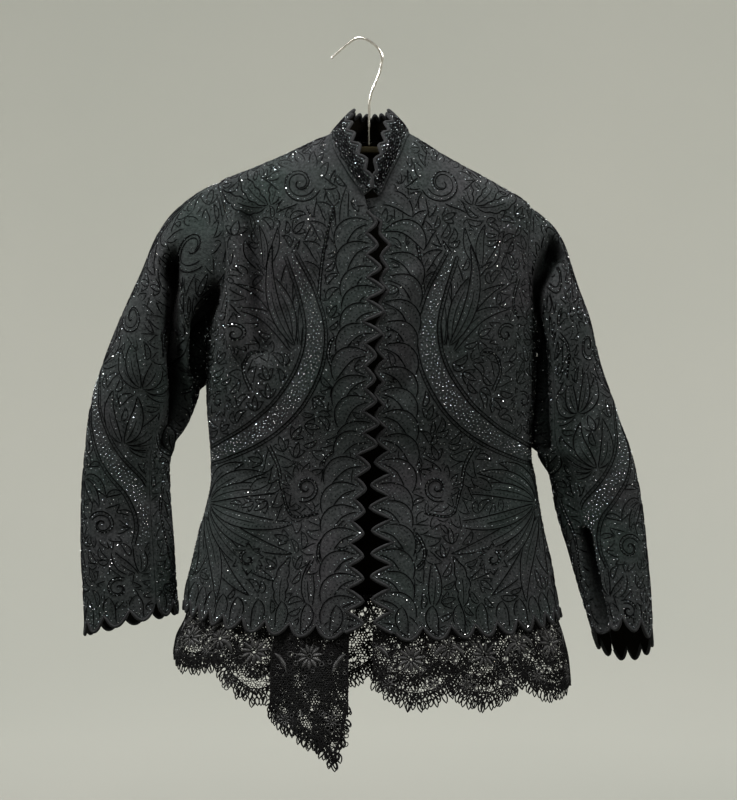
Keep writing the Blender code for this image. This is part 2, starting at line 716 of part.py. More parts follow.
def build_sleeve_panel(sleeve, part):
    start_deg, end_deg = BACK_SEAM_DEG, FRONT_SEAM_DEG
    if part == "under":
        start_deg, end_deg = FRONT_SEAM_DEG, BACK_SEAM_DEG + 360
    half_gap = SEAM_GAP / 2 / 17
    start, end = math.radians(start_deg) + half_gap, math.radians(end_deg) - half_gap
    share, height = teeth_along(CUFF_TEETH[part])
    cuff_turn = end + share * (start - end)
    cuff_length = sleeve.cuff(cuff_turn) + CUFF_TOOTH_DEPTH * height
    head_turn = run(start, end, 0.3)
    down = run(0, sleeve.cuff(np.array([end]))[0], 34)[1:-1]
    up = run(sleeve.cuff(np.array([start]))[0], 0, 34)[1:-1]
    outline = np.concatenate([
        np.stack([head_turn, np.zeros_like(head_turn)], axis=1),
        np.stack([np.full_like(down, end), down], axis=1),
        np.stack([cuff_turn, cuff_length], axis=1),
        np.stack([np.full_like(up, start), up], axis=1)])
    scale = np.array([SLEEVE_ROUND, 1.0])
    flat_outline = outline * scale
    inner = grid_inside(flat_outline, [], 19, 25)
    flat, faces = triangles_of(flat_outline, [], inner)

    def surface(points):
        return sleeve.surface(points[:, 0] / SLEEVE_ROUND, points[:, 1])

    name = f"sleeve_{part}_{sleeve.side}"
    return add_node(name, wall_mesh(name, flat, faces, surface, CLOTH_WALL), "wool")


# Lace

def lace_turns():
    """Turn and its reach round the lace's reference section, from centre front past both sides."""
    turn = np.linspace(-np.pi * 1.5, np.pi * 1.5, 1201)
    ring = body_base(turn, np.full_like(turn, LACE_SECTION_DROP))
    step = np.linalg.norm(np.diff(ring, axis=0), axis=1)
    reach = np.concatenate([[0], np.cumsum(step)])
    return turn, reach - np.interp(0, turn, reach)


LACE_TURN, LACE_REACH = lace_turns()


def gap_loop(middle, size):
    angle = np.arange(GAP_SIDES) / GAP_SIDES * 2 * np.pi
    return middle + size * np.stack([np.cos(angle), np.sin(angle)], axis=1)


def lace_gaps(stretch, start, end, foot):
    """The largest gaps: a ring round each flower, and a row between the loops at the foot."""
    pitch = (end - start) / stretch.scallops
    gaps = []
    for i in range(stretch.scallops):
        middle = start + (i + 0.5) * pitch
        flower = np.array([middle, foot(middle) - FLOWER_ABOVE_FOOT])
        for k in range(FLOWER_GAPS):
            angle = (k + 0.5) / FLOWER_GAPS * 2 * np.pi
            away = FLOWER_RADIUS * np.array([math.cos(angle), math.sin(angle)])
            gaps.append(gap_loop(flower + away, FLOWER_GAP_SIZE))
        for k in range(EDGE_GAPS):
            x = start + (i + (k + 0.5) / EDGE_GAPS) * pitch
            edge = foot(x) + stretch.scallop_depth * math.sin(math.pi * (k + 0.5) / EDGE_GAPS)
            gaps.append(gap_loop(np.array([x, edge - EDGE_GAP_INSET]), EDGE_GAP_SIZE))
    return gaps


def build_lace(name):
    stretch = LACE_STRETCHES[name]
    half_gap = SEAM_GAP / 2
    if name == "lace_back":
        start = np.interp(np.pi / 2, LACE_TURN, LACE_REACH) + half_gap
        end = np.interp(3 * np.pi / 2, LACE_TURN, LACE_REACH) - half_gap
        middle = (start + end) / 2
    else:
        sign = -1 if name.endswith("right") else 1
        side = sign * (np.interp(np.pi / 2 * sign, LACE_TURN, LACE_REACH) * sign - half_gap)
        start, end = stretch.start, side if stretch.end is None else stretch.end
        middle = 0

    def foot(reach):
        place = reach - middle if name == "lace_back" else np.abs(reach)
        return table(stretch.foot, "reach", "drop", place)

    points_per_scallop = 8
    place = np.arange(stretch.scallops * points_per_scallop + 1) / points_per_scallop
    foot_reach = start + place / stretch.scallops * (end - start)
    foot_line = foot(foot_reach) + stretch.scallop_depth * np.sin(np.pi * (place % 1.0))
    top_reach = run(end, start, 26)
    side_name = "left" if name == "lace_front_left" else "right"
    top_turn = np.interp(top_reach, LACE_REACH, LACE_TURN)
    level = hem_drop(side_name, np.minimum(np.abs(top_turn), 2 * np.pi - np.abs(top_turn)))
    top_line = level - LACE_TOP_ABOVE_HEM
    outline = np.concatenate([
        np.stack([foot_reach, foot_line], axis=1), np.stack([top_reach, top_line], axis=1)])
    gaps = lace_gaps(stretch, start, end, foot)
    inner = grid_inside(outline, gaps, LACE_STEP)
    flat, faces = triangles_of(outline, gaps, inner)

    def surface(points):
        turn = np.interp(points[:, 0], LACE_REACH, LACE_TURN)
        drop = points[:, 1]
        hang = np.clip((drop - LACE_FREE_DROP) / LACE_FREE_REACH, 0, 1.5)
        wave = hang * (stretch.stand_off + stretch.flare * np.sin(points[:, 0] / 15.0))
        return body_surface(turn, drop, stretch.inset - wave)

    return add_node(name, wall_mesh(name, flat, faces, surface, LACE_WALL), "lace")


# Hanger

def smooth_route(rows, spacing):
    """Points every so often along a smooth curve through the route's own points."""
    places = np.array([[r.x, 0, -r.drop] for r in rows], float)
    lengths = np.concatenate([[0], np.cumsum(np.linalg.norm(np.diff(places, axis=0), axis=1))])
    at = run(0, lengths[-1], spacing)
    return np.stack([smooth(lengths, places[:, i], at) for i in range(3)], axis=1)


def build_tube(name, rows, radius, spacing, finish, sides=2):
    curve = bpy.data.curves.new(name, "CURVE")
    curve.dimensions = "3D"
    curve.bevel_depth = radius * MM
    curve.bevel_resolution = sides
    curve.use_fill_caps = True
    points = smooth_route(rows, spacing) * MM
    spline = curve.splines.new("POLY")
    spline.points.add(len(points) - 1)
    for point, place in zip(spline.points, points):
        point.co = (*place, 1)
        point.radius = 1.0
    curve.materials.append(material(finish))
    node = bpy.data.objects.new(name, curve)
    bpy.context.scene.collection.objects.link(node)
    return node


def clear_scene():
    for item in list(bpy.data.objects):
        bpy.data.objects.remove(item, do_unlink=True)


def main():
    clear_scene()
    build_body_panel("front_right", front_outline("right"), lift_side="right")
    build_body_panel("front_left", front_outline("left"))
    build_body_panel("back", back_outline())
    build_collar()
    for side in ("right", "left"):
        sleeve = Sleeve(side)
        for part in ("top", "under"):
            build_sleeve_panel(sleeve, part)
    for name in LACE_STRETCHES:
        build_lace(name)
    build_tube("hanger_hook", HOOK_ROUTE, HOOK_WIRE / 2, 8, "steel")
    build_tube("hanger_bar", BAR_ROUTE, BAR_RADIUS, 22, "wood", 3)


main()
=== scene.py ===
"""Looks of the evening jacket: creased wool shells, corded and beaded embroidery, thread lace.

The cloth follows the same section tables as the solids, and every piece hangs under one root node. Tables
are in millimetres and give heights as drops, the distance below the hook's apex.
"""

import math
from collections import namedtuple

import bpy
import numpy as np
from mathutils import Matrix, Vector
from mathutils.geometry import delaunay_2d_cdt

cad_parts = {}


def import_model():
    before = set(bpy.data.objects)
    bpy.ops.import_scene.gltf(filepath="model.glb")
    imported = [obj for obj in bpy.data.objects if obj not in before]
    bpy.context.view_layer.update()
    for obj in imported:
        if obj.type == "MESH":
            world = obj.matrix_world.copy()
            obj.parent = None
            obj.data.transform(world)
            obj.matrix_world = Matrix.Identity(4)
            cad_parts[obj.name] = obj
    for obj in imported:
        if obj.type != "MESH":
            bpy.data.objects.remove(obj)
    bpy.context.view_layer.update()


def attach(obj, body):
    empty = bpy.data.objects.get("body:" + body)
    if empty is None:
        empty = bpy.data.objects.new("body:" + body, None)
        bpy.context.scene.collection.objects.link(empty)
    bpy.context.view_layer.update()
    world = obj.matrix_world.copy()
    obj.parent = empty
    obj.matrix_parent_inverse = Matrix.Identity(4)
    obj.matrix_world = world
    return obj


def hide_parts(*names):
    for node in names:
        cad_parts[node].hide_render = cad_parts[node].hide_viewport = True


MM = 0.001


def rows(kind, *values):
    """Table rows with named columns."""
    return [kind(*value) for value in values]


# Driving dimensions of the cloth
CLOTH_WALL = 2.0
LACE_WALL = 1.1
SEAM_GAP = 0.4
ARMHOLE_GAP = 0.7
COLLAR_GAP = 0.9
CENTRE_X = 14.0
FRONT_OVERLAP_LIFT = 3.4
FRONT_OVERLAP_REACH = 70.0
QUARTER_ROUND = 240.0
TURN_SCALE = QUARTER_ROUND / (np.pi / 2)

# The wearer's sides: which way x runs on each, and whose front laps over the other
SIGNS = {"right": -1, "left": 1}
LAPPING_SIDE = "right"

# Body sections: reach to each side, front and back depth, and roundness exponent
BodySection = namedtuple("BodySection", "drop right_x left_x front back squareness")
BODY_SECTIONS = rows(
    BodySection,
    (100, -14, 42, 32, 42, 2.0), (117, -32, 60, 40, 50, 2.0), (126, -56, 75, 45, 53, 2.0),
    (145, -96, 105, 51, 56, 2.0), (164, -140, 140, 56, 58, 2.0), (180, -177, 170, 60, 60, 2.0),
    (211, -184, 214, 66, 62, 2.1), (264, -187, 220, 72, 63, 2.2), (370, -191, 221, 78, 63, 2.3),
    (445, -192, 219, 74, 60, 2.3), (520, -187, 214, 64, 56, 2.3), (548, -186, 219, 63, 56, 2.3),
    (576, -190, 223, 65, 59, 2.3), (614, -201, 230, 70, 64, 2.3), (651, -210, 239, 74, 68, 2.2),
    (689, -219, 245, 78, 72, 2.2), (716, -222, 250, 80, 74, 2.2), (745, -235, 259, 82, 76, 2.2),
    (776, -240, 266, 83, 78, 2.2), (830, -243, 270, 84, 80, 2.2), (930, -246, 273, 84, 80, 2.2))

# Main folds of the fronts and the back, as in the solids, then the finer creases
BodyFold = namedtuple("BodyFold", "face start_x start_drop end_x end_drop width height")
BODY_FOLDS = rows(
    BodyFold,
    ("front", -155, 245, -148, 375, 13, 6), ("front", -133, 250, -122, 380, 16, -6),
    ("front", -88, 325, -106, 480, 34, -7), ("front", 82, 315, 50, 435, 17, -6),
    ("front", 140, 300, 120, 470, 45, 6), ("front", -150, 610, -165, 830, 24, 6),
    ("front", -95, 600, -100, 830, 26, -6), ("front", 90, 610, 95, 840, 26, 6),
    ("front", 150, 590, 165, 840, 26, -6), ("back", -110, 230, -70, 420, 26, -6),
    ("back", 125, 230, 95, 430, 26, -6), ("back", -120, 560, -150, 840, 30, 8),
    ("back", -40, 560, -50, 840, 30, -8), ("back", 45, 560, 50, 840, 30, 8),
    ("back", 130, 560, 150, 840, 30, -8))
FOLD_FADE = 0.4
UNEVEN_HEIGHT = 0.35
BODY_CREASES = rows(
    BodyFold,
    ("front", -158, 226, -151, 392, 8, 7.0), ("front", -137, 226, -125, 390, 11, -9.0),
    ("front", -168, 212, -152, 300, 7, -2.6), ("front", -110, 240, -96, 330, 9, 2.6),
    ("front", -120, 176, -62, 206, 10, -1.5), ("front", -58, 300, -76, 420, 12, -2.2),
    ("front", -172, 425, -120, 500, 10, 2.2), ("front", -182, 520, -108, 558, 9, -1.9),
    ("front", -176, 560, -120, 600, 8, 1.5), ("front", -58, 640, -68, 735, 12, 2.4),
    ("front", -130, 622, -128, 735, 10, -2.2), ("front", -196, 640, -200, 700, 10, -2.4),
    ("front", 62, 300, 40, 420, 9, 4.0), ("front", 110, 182, 62, 216, 10, -1.5),
    ("front", 182, 258, 150, 360, 9, -4.0), ("front", 150, 240, 128, 300, 8, 1.6),
    ("front", 197, 400, 150, 500, 11, 2.0), ("front", 204, 540, 120, 575, 9, -1.9),
    ("front", 206, 575, 140, 612, 8, 1.5), ("front", 58, 640, 66, 740, 12, -2.4),
    ("front", 190, 622, 206, 720, 11, 2.6), ("back", -160, 230, -132, 340, 8, -2.2),
    ("back", 182, 230, 150, 340, 8, -2.2), ("back", -60, 172, 78, 180, 12, 1.5),
    ("back", -128, 470, -30, 520, 10, -1.9), ("back", 142, 470, 60, 520, 10, -1.9),
    ("back", -150, 520, -60, 545, 9, 1.7), ("back", 170, 522, 80, 548, 9, 1.7),
    ("back", -90, 600, -100, 720, 13, 2.4), ("back", 0, 585, 4, 720, 12, 2.2),
    ("back", 96, 600, 106, 720, 13, -2.4))

# Neckline and stand collar, from centre back to the front V
NeckStation = namedtuple("NeckStation", "along turn_deg drop lean_x lean_y rise")
NECK_STATIONS = rows(
    NeckStation,
    (0.00, 180.0, 124, 0, -14, 33), (0.20, 145.0, 121, -13, -10, 31), (0.40, 90.0, 117, -26, -2, 27),
    (0.55, 46.0, 126, -26, 12, 22), (0.70, 23.0, 146, -24, 5, 18), (0.85, 9.5, 172, -19, -2, 15),
    (1.00, 1.5, 205, -7, -2, 8))
FRONT_NECK_FROM = 0.42
BACK_NECK_TO = 0.38
COLLAR_TEETH = 22
COLLAR_TOOTH_SHARE = 0.26
COLLAR_HEIGHT = 34.0
COLLAR_LENGTH = 400.0
COLLAR_END = 0.985
COLLAR_RIB = 3.5
COLLAR_FIRST_RIB = 6.5
COLLAR_BOW = 2.5
COLLAR_LAP_FROM = 0.6
COLLAR_LAP = 0.35

# Front edges: where the notches between the teeth lie, and how deep the teeth are
EdgePoint = namedtuple("EdgePoint", "drop x depth")
FRONT_EDGES = {
    "right": rows(
        EdgePoint,
        (220, 10, 11), (247, 9.5, 12), (275, 9.5, 14), (302, 11, 18), (330, 10, 21), (357, 5.5, 23),
        (386, 7.5, 15), (413, 7.5, 11), (437, 7.5, 13), (465, 5, 16), (492, 5, 20), (522, -3, 18),
        (561, -5, 13), (618, -10, 15), (671, -13, 18), (735, -17, 22)),
    "left": rows(
        EdgePoint,
        (206, 4, 5), (220, 12, 6), (234, 25, 8), (260, 35.5, 10), (290, 33, 9), (325, 33.5, 10),
        (348, 29, 9), (372, 28, 9), (399, 30.5, 12), (427, 28, 11), (455, 28, 11), (498, 33, 14),
        (537, 36.5, 20), (570, 35, 24), (615, 39, 25), (680, 36, 23), (736, 39, 20)),
}
FRONT_TOOTH_TIP = {"right": 0.56, "left": 0.5}
FRONT_TEETH = 19
POINTED = 1.5
TONGUED = 2.1

# Hem: the drop of its notch line from centre front round to centre back
HemPoint = namedtuple("HemPoint", "turn_deg drop")
HEMS = {
    "right": rows(HemPoint, (0, 730), (40, 719), (90, 697), (135, 700), (180, 704)),
    "left": rows(HemPoint, (0, 731), (40, 724), (90, 706), (135, 704), (180, 704)),
}
HEM_TOOTH_DEPTH = 15.0
HEM_TEETH = {"front": 10, "back": 20}

Armhole = namedtuple("Armhole", "top bottom front_deg back_deg")
ARMHOLES = {"right": Armhole(180, 374, 31, 30), "left": Armhole(211, 378, 22, 26)}

# Sleeve stations from the cap to past the cuff: outer and inner edge from the front, half depth
SleeveStation = namedtuple("SleeveStation", "outer_x outer_drop inner_x inner_drop half_depth")
SLEEVE_STATIONS = {
    "right": rows(
        SleeveStation,
        (-212, 196, -196, 375, 34), (-244, 229, -195.5, 384, 41), (-274, 295, -196, 404, 45),
        (-300, 351, -199, 436, 44), (-322, 408, -212, 474, 41), (-337, 458, -231, 508, 37),
        (-343, 514, -238, 534, 33), (-348, 576, -236, 580, 31), (-349, 633, -232, 634, 29),
        (-346, 690, -229, 684, 28), (-344, 729, -228, 703, 28), (-344, 767, -227, 743, 28)),
    "left": rows(
        SleeveStation,
        (241, 227, 226, 379, 33), (254, 249, 226, 387, 40), (267, 295, 226, 403, 44),
        (287, 351, 225, 428, 46), (301, 408, 223, 468, 46), (321, 464, 220, 512, 45),
        (341, 526, 237, 546, 41), (352, 583, 245, 591, 39), (358, 633, 259, 636, 41),
        (363, 689, 274, 689, 44), (365, 745, 290, 739, 47), (365, 800, 305, 792, 48)),
}
CUFF_STATION = 10
CUFF_TILT = {"right": 3.0, "left": 23.5}
CUFF_TOOTH_DEPTH = 16.0
CUFF_TEETH = {"top": 7, "under": 4}
CAP_BLEND = 60.0
CAP_SWELL = 0.35
CAP_FALL = {"right": 0.45, "left": 0.9}
SLEEVE_ROUND = 48.0
SLEEVE_LEAST_RADIUS = 17.0
FOLDS_FROM = 4.0
FOLDS_RISE = 30.0
GORGES_RISE = 12.0
GORGE_SQUARENESS = 5
FRONT_SEAM_DEG = 125.0
BACK_SEAM_DEG = -110.0

# Sleeve folds by station number and turn round the sleeve, then the finer creases
SleeveFold = namedtuple("SleeveFold", "start_station start_deg end_station end_deg width height")
SLEEVE_FOLDS = {
    "right": rows(
        SleeveFold,
        (1.2, 66, 2.2, 98, 12, -13), (2.2, 98, 5.2, 150, 12, -15), (1.6, 40, 3.6, 70, 18, 4),
        (5.6, 40, 7.6, 80, 16, -4), (2.0, -90, 6.0, -120, 22, -6)),
    "left": rows(
        SleeveFold,
        (0.8, 30, 0.5, 85, 9, -8), (5.8, 128, 9.6, 122, 12, -8), (3.0, 60, 5.2, 100, 18, -4),
        (2.0, -90, 6.0, -120, 22, -6)),
}
SLEEVE_CREASES = {
    "right": rows(
        SleeveFold,
        (0.7, 20, 1.7, 50, 8, -2.6), (3.3, 26, 4.6, 84, 9, -2.8), (4.2, 52, 5.3, 108, 8, 2.4),
        (4.9, 12, 5.9, 70, 8, -2.6), (6.3, 96, 7.3, 150, 9, -2.2), (7.7, 30, 9.3, 62, 11, 1.8),
        (1.0, -40, 2.6, -90, 9, -2.2), (3.6, -60, 5.0, -112, 9, -2.4), (5.2, -40, 6.4, -120, 9, 2.0),
        (4.4, 172, 5.6, 212, 8, -2.2)),
    "left": rows(
        SleeveFold,
        (1.4, 20, 2.6, 58, 8, -2.6), (3.5, 24, 4.8, 78, 9, -2.6), (4.6, 44, 5.6, 100, 8, 2.4),
        (5.2, 10, 6.2, 66, 8, -2.6), (6.6, 60, 7.6, 96, 9, -2.0), (7.9, 30, 9.4, 70, 10, 2.0),
        (1.2, -36, 2.8, -88, 9, -2.2), (3.8, -56, 5.2, -112, 9, -2.4), (5.4, -40, 6.6, -120, 9, 2.0),
        (4.6, 170, 5.8, 214, 8, -2.2)),
}

# Deep narrow folds of the sleeves, and the ridges that close the underarm
Gorge = namedtuple("Gorge", "route width height")
SLEEVE_GORGES = {
    "right": rows(
        Gorge,
        ([(1.33, 66), (1.4, 80), (1.71, 92), (2.23, 102), (2.88, 118), (3.42, 134), (4.3, 158)], 11.5, -33),
        ([(0.1, 128), (0.7, 138), (1.5, 150), (2.4, 158)], 16, -30),
        ([(0.2, 186), (2.6, 186)], 17, 7)),
    "left": rows(
        Gorge,
        ([(1.1, 34), (0.82, 60), (0.64, 76), (0.27, 94), (0.3, 122), (0.8, 142)], 8.5, -24),
        ([(0.8, 142), (1.6, 156), (3.0, 158), (4.0, 156), (5.0, 150)], 11, -22),
        ([(7.6, 122), (9.0, 132), (9.9, 136)], 8, -13),
        ([(0.2, 188), (4.7, 188)], 17, 8)),
}

# Lace flounce stretches, as in the solids
LacePoint = namedtuple("LacePoint", "reach drop")
LaceStretch = namedtuple("LaceStretch", "start end foot scallops scallop_depth inset flare stand_off")
LACE_STRETCHES = {
    "lace_front_right": LaceStretch(
        -100, None, rows(LacePoint, (100, 808), (141, 806), (180, 790), (222, 772), (265, 766)),
        2, 22, 6.2, 2.0, -3.0),
    "lace_tail_right": LaceStretch(
        -28, -124, rows(
            LacePoint, (28, 843), (34, 866), (45, 896), (60, 881), (76, 868), (100, 857), (124, 838)),
        3, 7, 3.4, 4.0, 5.0),
    "lace_front_left": LaceStretch(
        2, None, rows(LacePoint, (0, 802), (95, 813), (175, 808), (280, 798)), 3, 22, 4.8, 2.0, 0.0),
    "lace_back": LaceStretch(
        None, None, rows(LacePoint, (-270, 798), (0, 806), (270, 766)), 6, 22, 5.0, 2.0, 0.0),
}
LACE_TOP_ABOVE_HEM = 20.0
LACE_SECTION_DROP = 770.0
LACE_FREE_DROP = 745.0
LACE_FREE_REACH = 95.0
FLARE_LENGTH = 15.0

# Hanger routes, seen from the front
RoutePoint = namedtuple("RoutePoint", "x drop")
HOOK_WIRE = 3.2
HOOK_ROUTE = rows(
    RoutePoint,
    (-36, 24), (-25, 14), (-13, 4.2), (-5, -0.8), (0, -1.6), (6, -0.6), (15, 4.5), (23, 12),
    (27.5, 23), (26, 36), (20.5, 52), (14, 68), (11.5, 83), (11.3, 105), (11.3, 133.5))
HOOK_STEP = 0.8
BAR_RADIUS = 7.0
BAR_STEP = 1.5
ROD_SIDES = 16
BAR_ROUTE = rows(
    RoutePoint,
    (-156, 181.3), (-110, 167), (-50, 149), (11.3, 141), (75, 152), (140, 178), (190, 205.2))

# Fineness of the shells
PANEL_STEP = 4.7
SLEEVE_STEP = 3.6
COLLAR_STEP = 3.4
EDGE_CLEARANCE = 0.42
POINT_GAP = 0.4
SHARP_DEG = 50.0
POINTS_AT_ONCE = 3000
EDGE_STEP = 4.0
NECK_STEP = 0.012
COLLAR_FOOT_STEP = 0.014
SLEEVE_HEAD_STEP = 0.08
ARMHOLE_POINTS = 61
POINTS_PER_TOOTH = 12
CHART_DROPS = np.arange(90.0, 940.0, 6.0)
CHART_TURNS = np.linspace(-0.64, 0.64, 513) * np.pi
CHART_PLACES = np.arange(-420.0, 421.0, 3.0)
LACE_TURNS = np.linspace(-np.pi * 1.5, np.pi * 1.5, 1201)

# Cords of the embroidery, the lighter ones, and the leaves that are wide enough for a rib
CORD_HALF_WIDTH = 0.9
CORD_HEIGHT = 0.8
CORD_FOOT = 0.35
CORD_END = 0.4
CORD_STEP = 2.9
THIN_CORD = 0.86
RIB_CORD = 0.7
RIB_WIDTH = 12.0
STEM_HALF_WIDTHS = (2.2, 0.6)
FROND_LEAF_DEG = 44

# Scrolls: each cord's share of the radius, of the turns and of the eye, and its weight
SCROLL_CORDS = ((1.0, 0.7, 0.12, 1.1), (0.72, 0.55, 0.3, 0.9))
SCROLL_BEAD_PITCH = 4.2
SCROLL_STEP = 1.7

# Knots, black beads and the pale stones of the crescents, and how far apart they are sewn
Stud = namedtuple("Stud", "radius top tilt seed")
KNOT = Stud(0.8, 0.4, 0.1, 3)
BEAD = Stud(0.85, 0.6, 0.22, 5)
STONE = Stud(1.05, 0.6, 0.22, 7)
STUD_FACES = 5
DOT_PITCH = 4.6
STONE_PITCH = 4.3
STONE_JITTER = 0.17
Strew = namedtuple("Strew", "pitch clear")
BEADS_STREWN = Strew(6.4, 1.7)
KNOTS_STREWN = Strew(6.4, 2.2)
COLLAR_BEADS = Strew(5.2, 0.7)
COLLAR_KNOTS = Strew(2.7, 0.9)

# Beside a crescent's stones: how far off each cord runs and its weight, the knots, the outer edge
BAND_CORDS = ((2.4, 1.0), (6.2, 0.8))
BAND_KNOTS = 4.2
BAND_KNOT_PITCH = 4.8
BAND_EDGE = 6.4

# Bound edges with their row of beads, and seams
BINDING_RADIUS = 2.2
BINDING_INSET = 1.3
BINDING_SINK = 0.6
EDGE_BEADS_INSET = 5.0
EDGE_BEADS_PITCH = 4.4
SEAM_RADIUS = 1.1

# The chart that embroidery is drawn on: margins kept plain, cells, and how far off a line is noted
TEETH_MARGIN = 5.5
SEAM_MARGIN = 2.0
NECK_MARGIN = 11.0
CELL = 1.5
NEAR = 12.0
TAKEN_NEAR = 2.0
MARKS_AT_ONCE = 300
STRETCH_MOST = 2.2
PANEL_SEEDS = {"front": 11, "back": 21, "sleeve": 31, "collar": 41}

# Filling: how many at most, the least room for a leaf and for a sprig, and for each leaf of a sprig
# its swing in degrees and its share of the room
FILL_LIMIT = 1800
FILL_LEAST = 7.6
FILL_SPRIG = 10.5
SPRAY = ((0, 1.7), (44, 1.35), (-44, 1.35))
LEAF_PAIR = ((-20, 1.75), (34, 1.3))

# Embroidery motifs. On the fronts and the back x is the cloth length from the centre line and drop
# the height; on the sleeves x is the length round from the outer edge and drop the length from the
# armhole. Angles are 0 outwards and 90 up
Band = namedtuple("Band", "points widths")
Scroll = namedtuple("Scroll", "x drop radius turns start_deg hand")
Fan = namedtuple("Fan", "x drop first_deg last_deg leaves first_length last_length width bend lobes")
Frond = namedtuple("Frond", "points leaf_length leaf_width spacing sides")
Leaf = namedtuple("Leaf", "x drop tip_x tip_drop width bend lobes")
Motifs = namedtuple("Motifs", "bands scrolls fans fronds leaves")

FRONT_MOTIFS = Motifs(
    bands=rows(Band, (
        [(99, 273), (79, 322), (69, 367), (77, 413), (105, 459), (144, 492), (188, 513), (216, 521)],
        [5, 13, 18, 22, 24, 22, 17, 12])),
    scrolls=rows(
        Scroll,
        (88, 184, 27, 2.2, 200, 1), (37, 446, 15, 1.8, 60, -1), (37, 625, 14, 1.7, 120, 1),
        (80, 558, 19, 1.9, 300, -1), (167, 370, 15, 1.7, 40, 1), (196, 452, 13, 1.6, 120, -1),
        (22, 371, 9, 1.5, 20, 1), (152, 646, 12, 1.5, 80, -1)),
    fans=rows(
        Fan,
        (222, 578, 142, 222, 6, 80, 142, 18, 10, 0), (222, 584, 236, 276, 3, 128, 84, 20, -10, 0),
        (92, 398, 106, 36, 6, 142, 100, 16, -16, 0), (124, 217, 22, 118, 4, 76, 42, 19, 8, 4),
        (134, 296, 58, 108, 3, 50, 60, 10, 5, 0), (22, 566, 30, 150, 3, 36, 32, 12, 4, 0)),
    fronds=rows(
        Frond,
        ([(63, 356), (64, 322), (60, 281), (53, 245), (45, 214)], 44, 15, 27, "left"),
        ([(128, 506), (115, 532), (110, 560), (98, 592), (64, 590)], 30, 12, 20, "both"),
        ([(34, 596), (60, 622), (64, 645), (48, 664), (40, 690)], 30, 12, 20, "both"),
        ([(26, 486), (38, 508), (56, 522), (60, 540)], 28, 12, 18, "both"),
        ([(40, 420), (52, 400), (48, 378), (34, 372)], 24, 11, 17, "both"),
        ([(150, 440), (160, 415), (152, 395), (136, 392)], 26, 11, 18, "both"),
        ([(186, 300), (178, 330), (186, 352)], 28, 12, 18, "both")),
    leaves=rows(
        Leaf,
        (43, 262, 44, 168, 14, 8, 0), (33, 252, 27, 184, 10, 3, 0), (74, 704, 73, 646, 16, 4, 0),
        (112, 704, 100, 642, 20, 6, 3), (66, 232, 86, 264, 13, 4, 0), (150, 562, 118, 550, 12, 4, 0)),
)

BACK_CENTRE = Motifs(
    bands=[],
    scrolls=[],
    fans=rows(
        Fan,
        (0, 300, 150, 30, 7, 66, 66, 16, 6, 0), (0, 452, 150, 30, 7, 70, 70, 16, 6, 0),
        (0, 598, 150, 30, 7, 66, 66, 16, 6, 0), (0, 694, 146, 34, 5, 60, 60, 16, 5, 0)),
    fronds=[],
    leaves=rows(Leaf, (0, 200, 0, 150, 20, 0, 3)),
)

SLEEVE_MOTIFS = Motifs(
    bands=rows(Band, (
        [(-8, 196), (12, 212), (28, 242), (47, 266), (70, 290), (87, 308), (98, 334), (99, 360), (90, 384)],
        [12, 16, 17, 18, 19, 20, 19, 15, 6])),
    scrolls=rows(
        Scroll,
        (58, 36, 17, 1.8, 20, -1), (36, 124, 19, 2.0, 200, 1), (50, 356, 19, 2.0, 160, -1),
        (66, 434, 15, 1.8, 60, 1), (-46, 128, 18, 1.9, 20, 1), (-44, 318, 19, 1.9, 200, -1),
        (-24, 430, 15, 1.7, 100, 1)),
    fans=rows(
        Fan,
        (73, 262, 160, 22, 7, 56, 62, 15, 8, 0), (74, 190, 140, 40, 5, 50, 50, 15, 6, 0),
        (8, 190, 150, 50, 5, 56, 50, 15, 7, 0), (-40, 236, 150, 40, 5, 60, 56, 16, 7, 0),
        (16, 300, 250, 330, 4, 50, 44, 14, 6, 0), (-60, 420, 140, 40, 5, 54, 54, 15, 6, 0),
        (90, 420, 130, 70, 3, 44, 38, 14, 5, 0)),
    fronds=rows(
        Frond,
        ([(6, 24), (18, 60), (8, 96), (14, 128)], 34, 13, 22, "both"),
        ([(-56, 36), (-46, 70), (-58, 104)], 34, 13, 22, "both"),
        ([(84, 76), (74, 104), (82, 136)], 28, 12, 19, "both"),
        ([(6, 330), (18, 368), (6, 404), (14, 440)], 34, 13, 22, "both"),
        ([(-76, 250), (-66, 300), (-78, 350), (-70, 400)], 34, 13, 23, "both")),
    leaves=[],
)

UNDER_SLEEVE_MOTIFS = Motifs(
    bands=[],
    scrolls=rows(
        Scroll,
        (150, 130, 17, 1.8, 40, 1), (160, 300, 17, 1.8, 200, -1), (150, 430, 14, 1.6, 60, 1)),
    fans=rows(Fan, (156, 252, 150, 30, 5, 58, 58, 16, 7, 0), (156, 396, 150, 30, 5, 54, 54, 16, 7, 0)),
    fronds=rows(
        Frond,
        ([(126, 40), (134, 90), (124, 150), (132, 200)], 32, 13, 22, "both"),
        ([(184, 40), (176, 90), (188, 150), (178, 210)], 32, 13, 22, "both"),
        ([(128, 290), (120, 340), (130, 400)], 30, 12, 22, "both"),
        ([(188, 290), (196, 340), (186, 400)], 30, 12, 22, "both")),
    leaves=[],
)

# Leaves that run out into the teeth: how far in they start, and how far along from the tip
EdgeLeaf = namedtuple("EdgeLeaf", "depth along width bend")
EDGE_LEAVES = {
    "edge": EdgeLeaf(46, -38, 20, 18),
    "hem": EdgeLeaf(42, 6, 15, 4),
    "cuff": EdgeLeaf(36, 6, 14, 4),
}

# How far off the cloth must be clear to count as open to the light, in metres; nearer cloth gets painted
# shade in the wool's colour
PAINTED_SHADE_REACH = 0.032

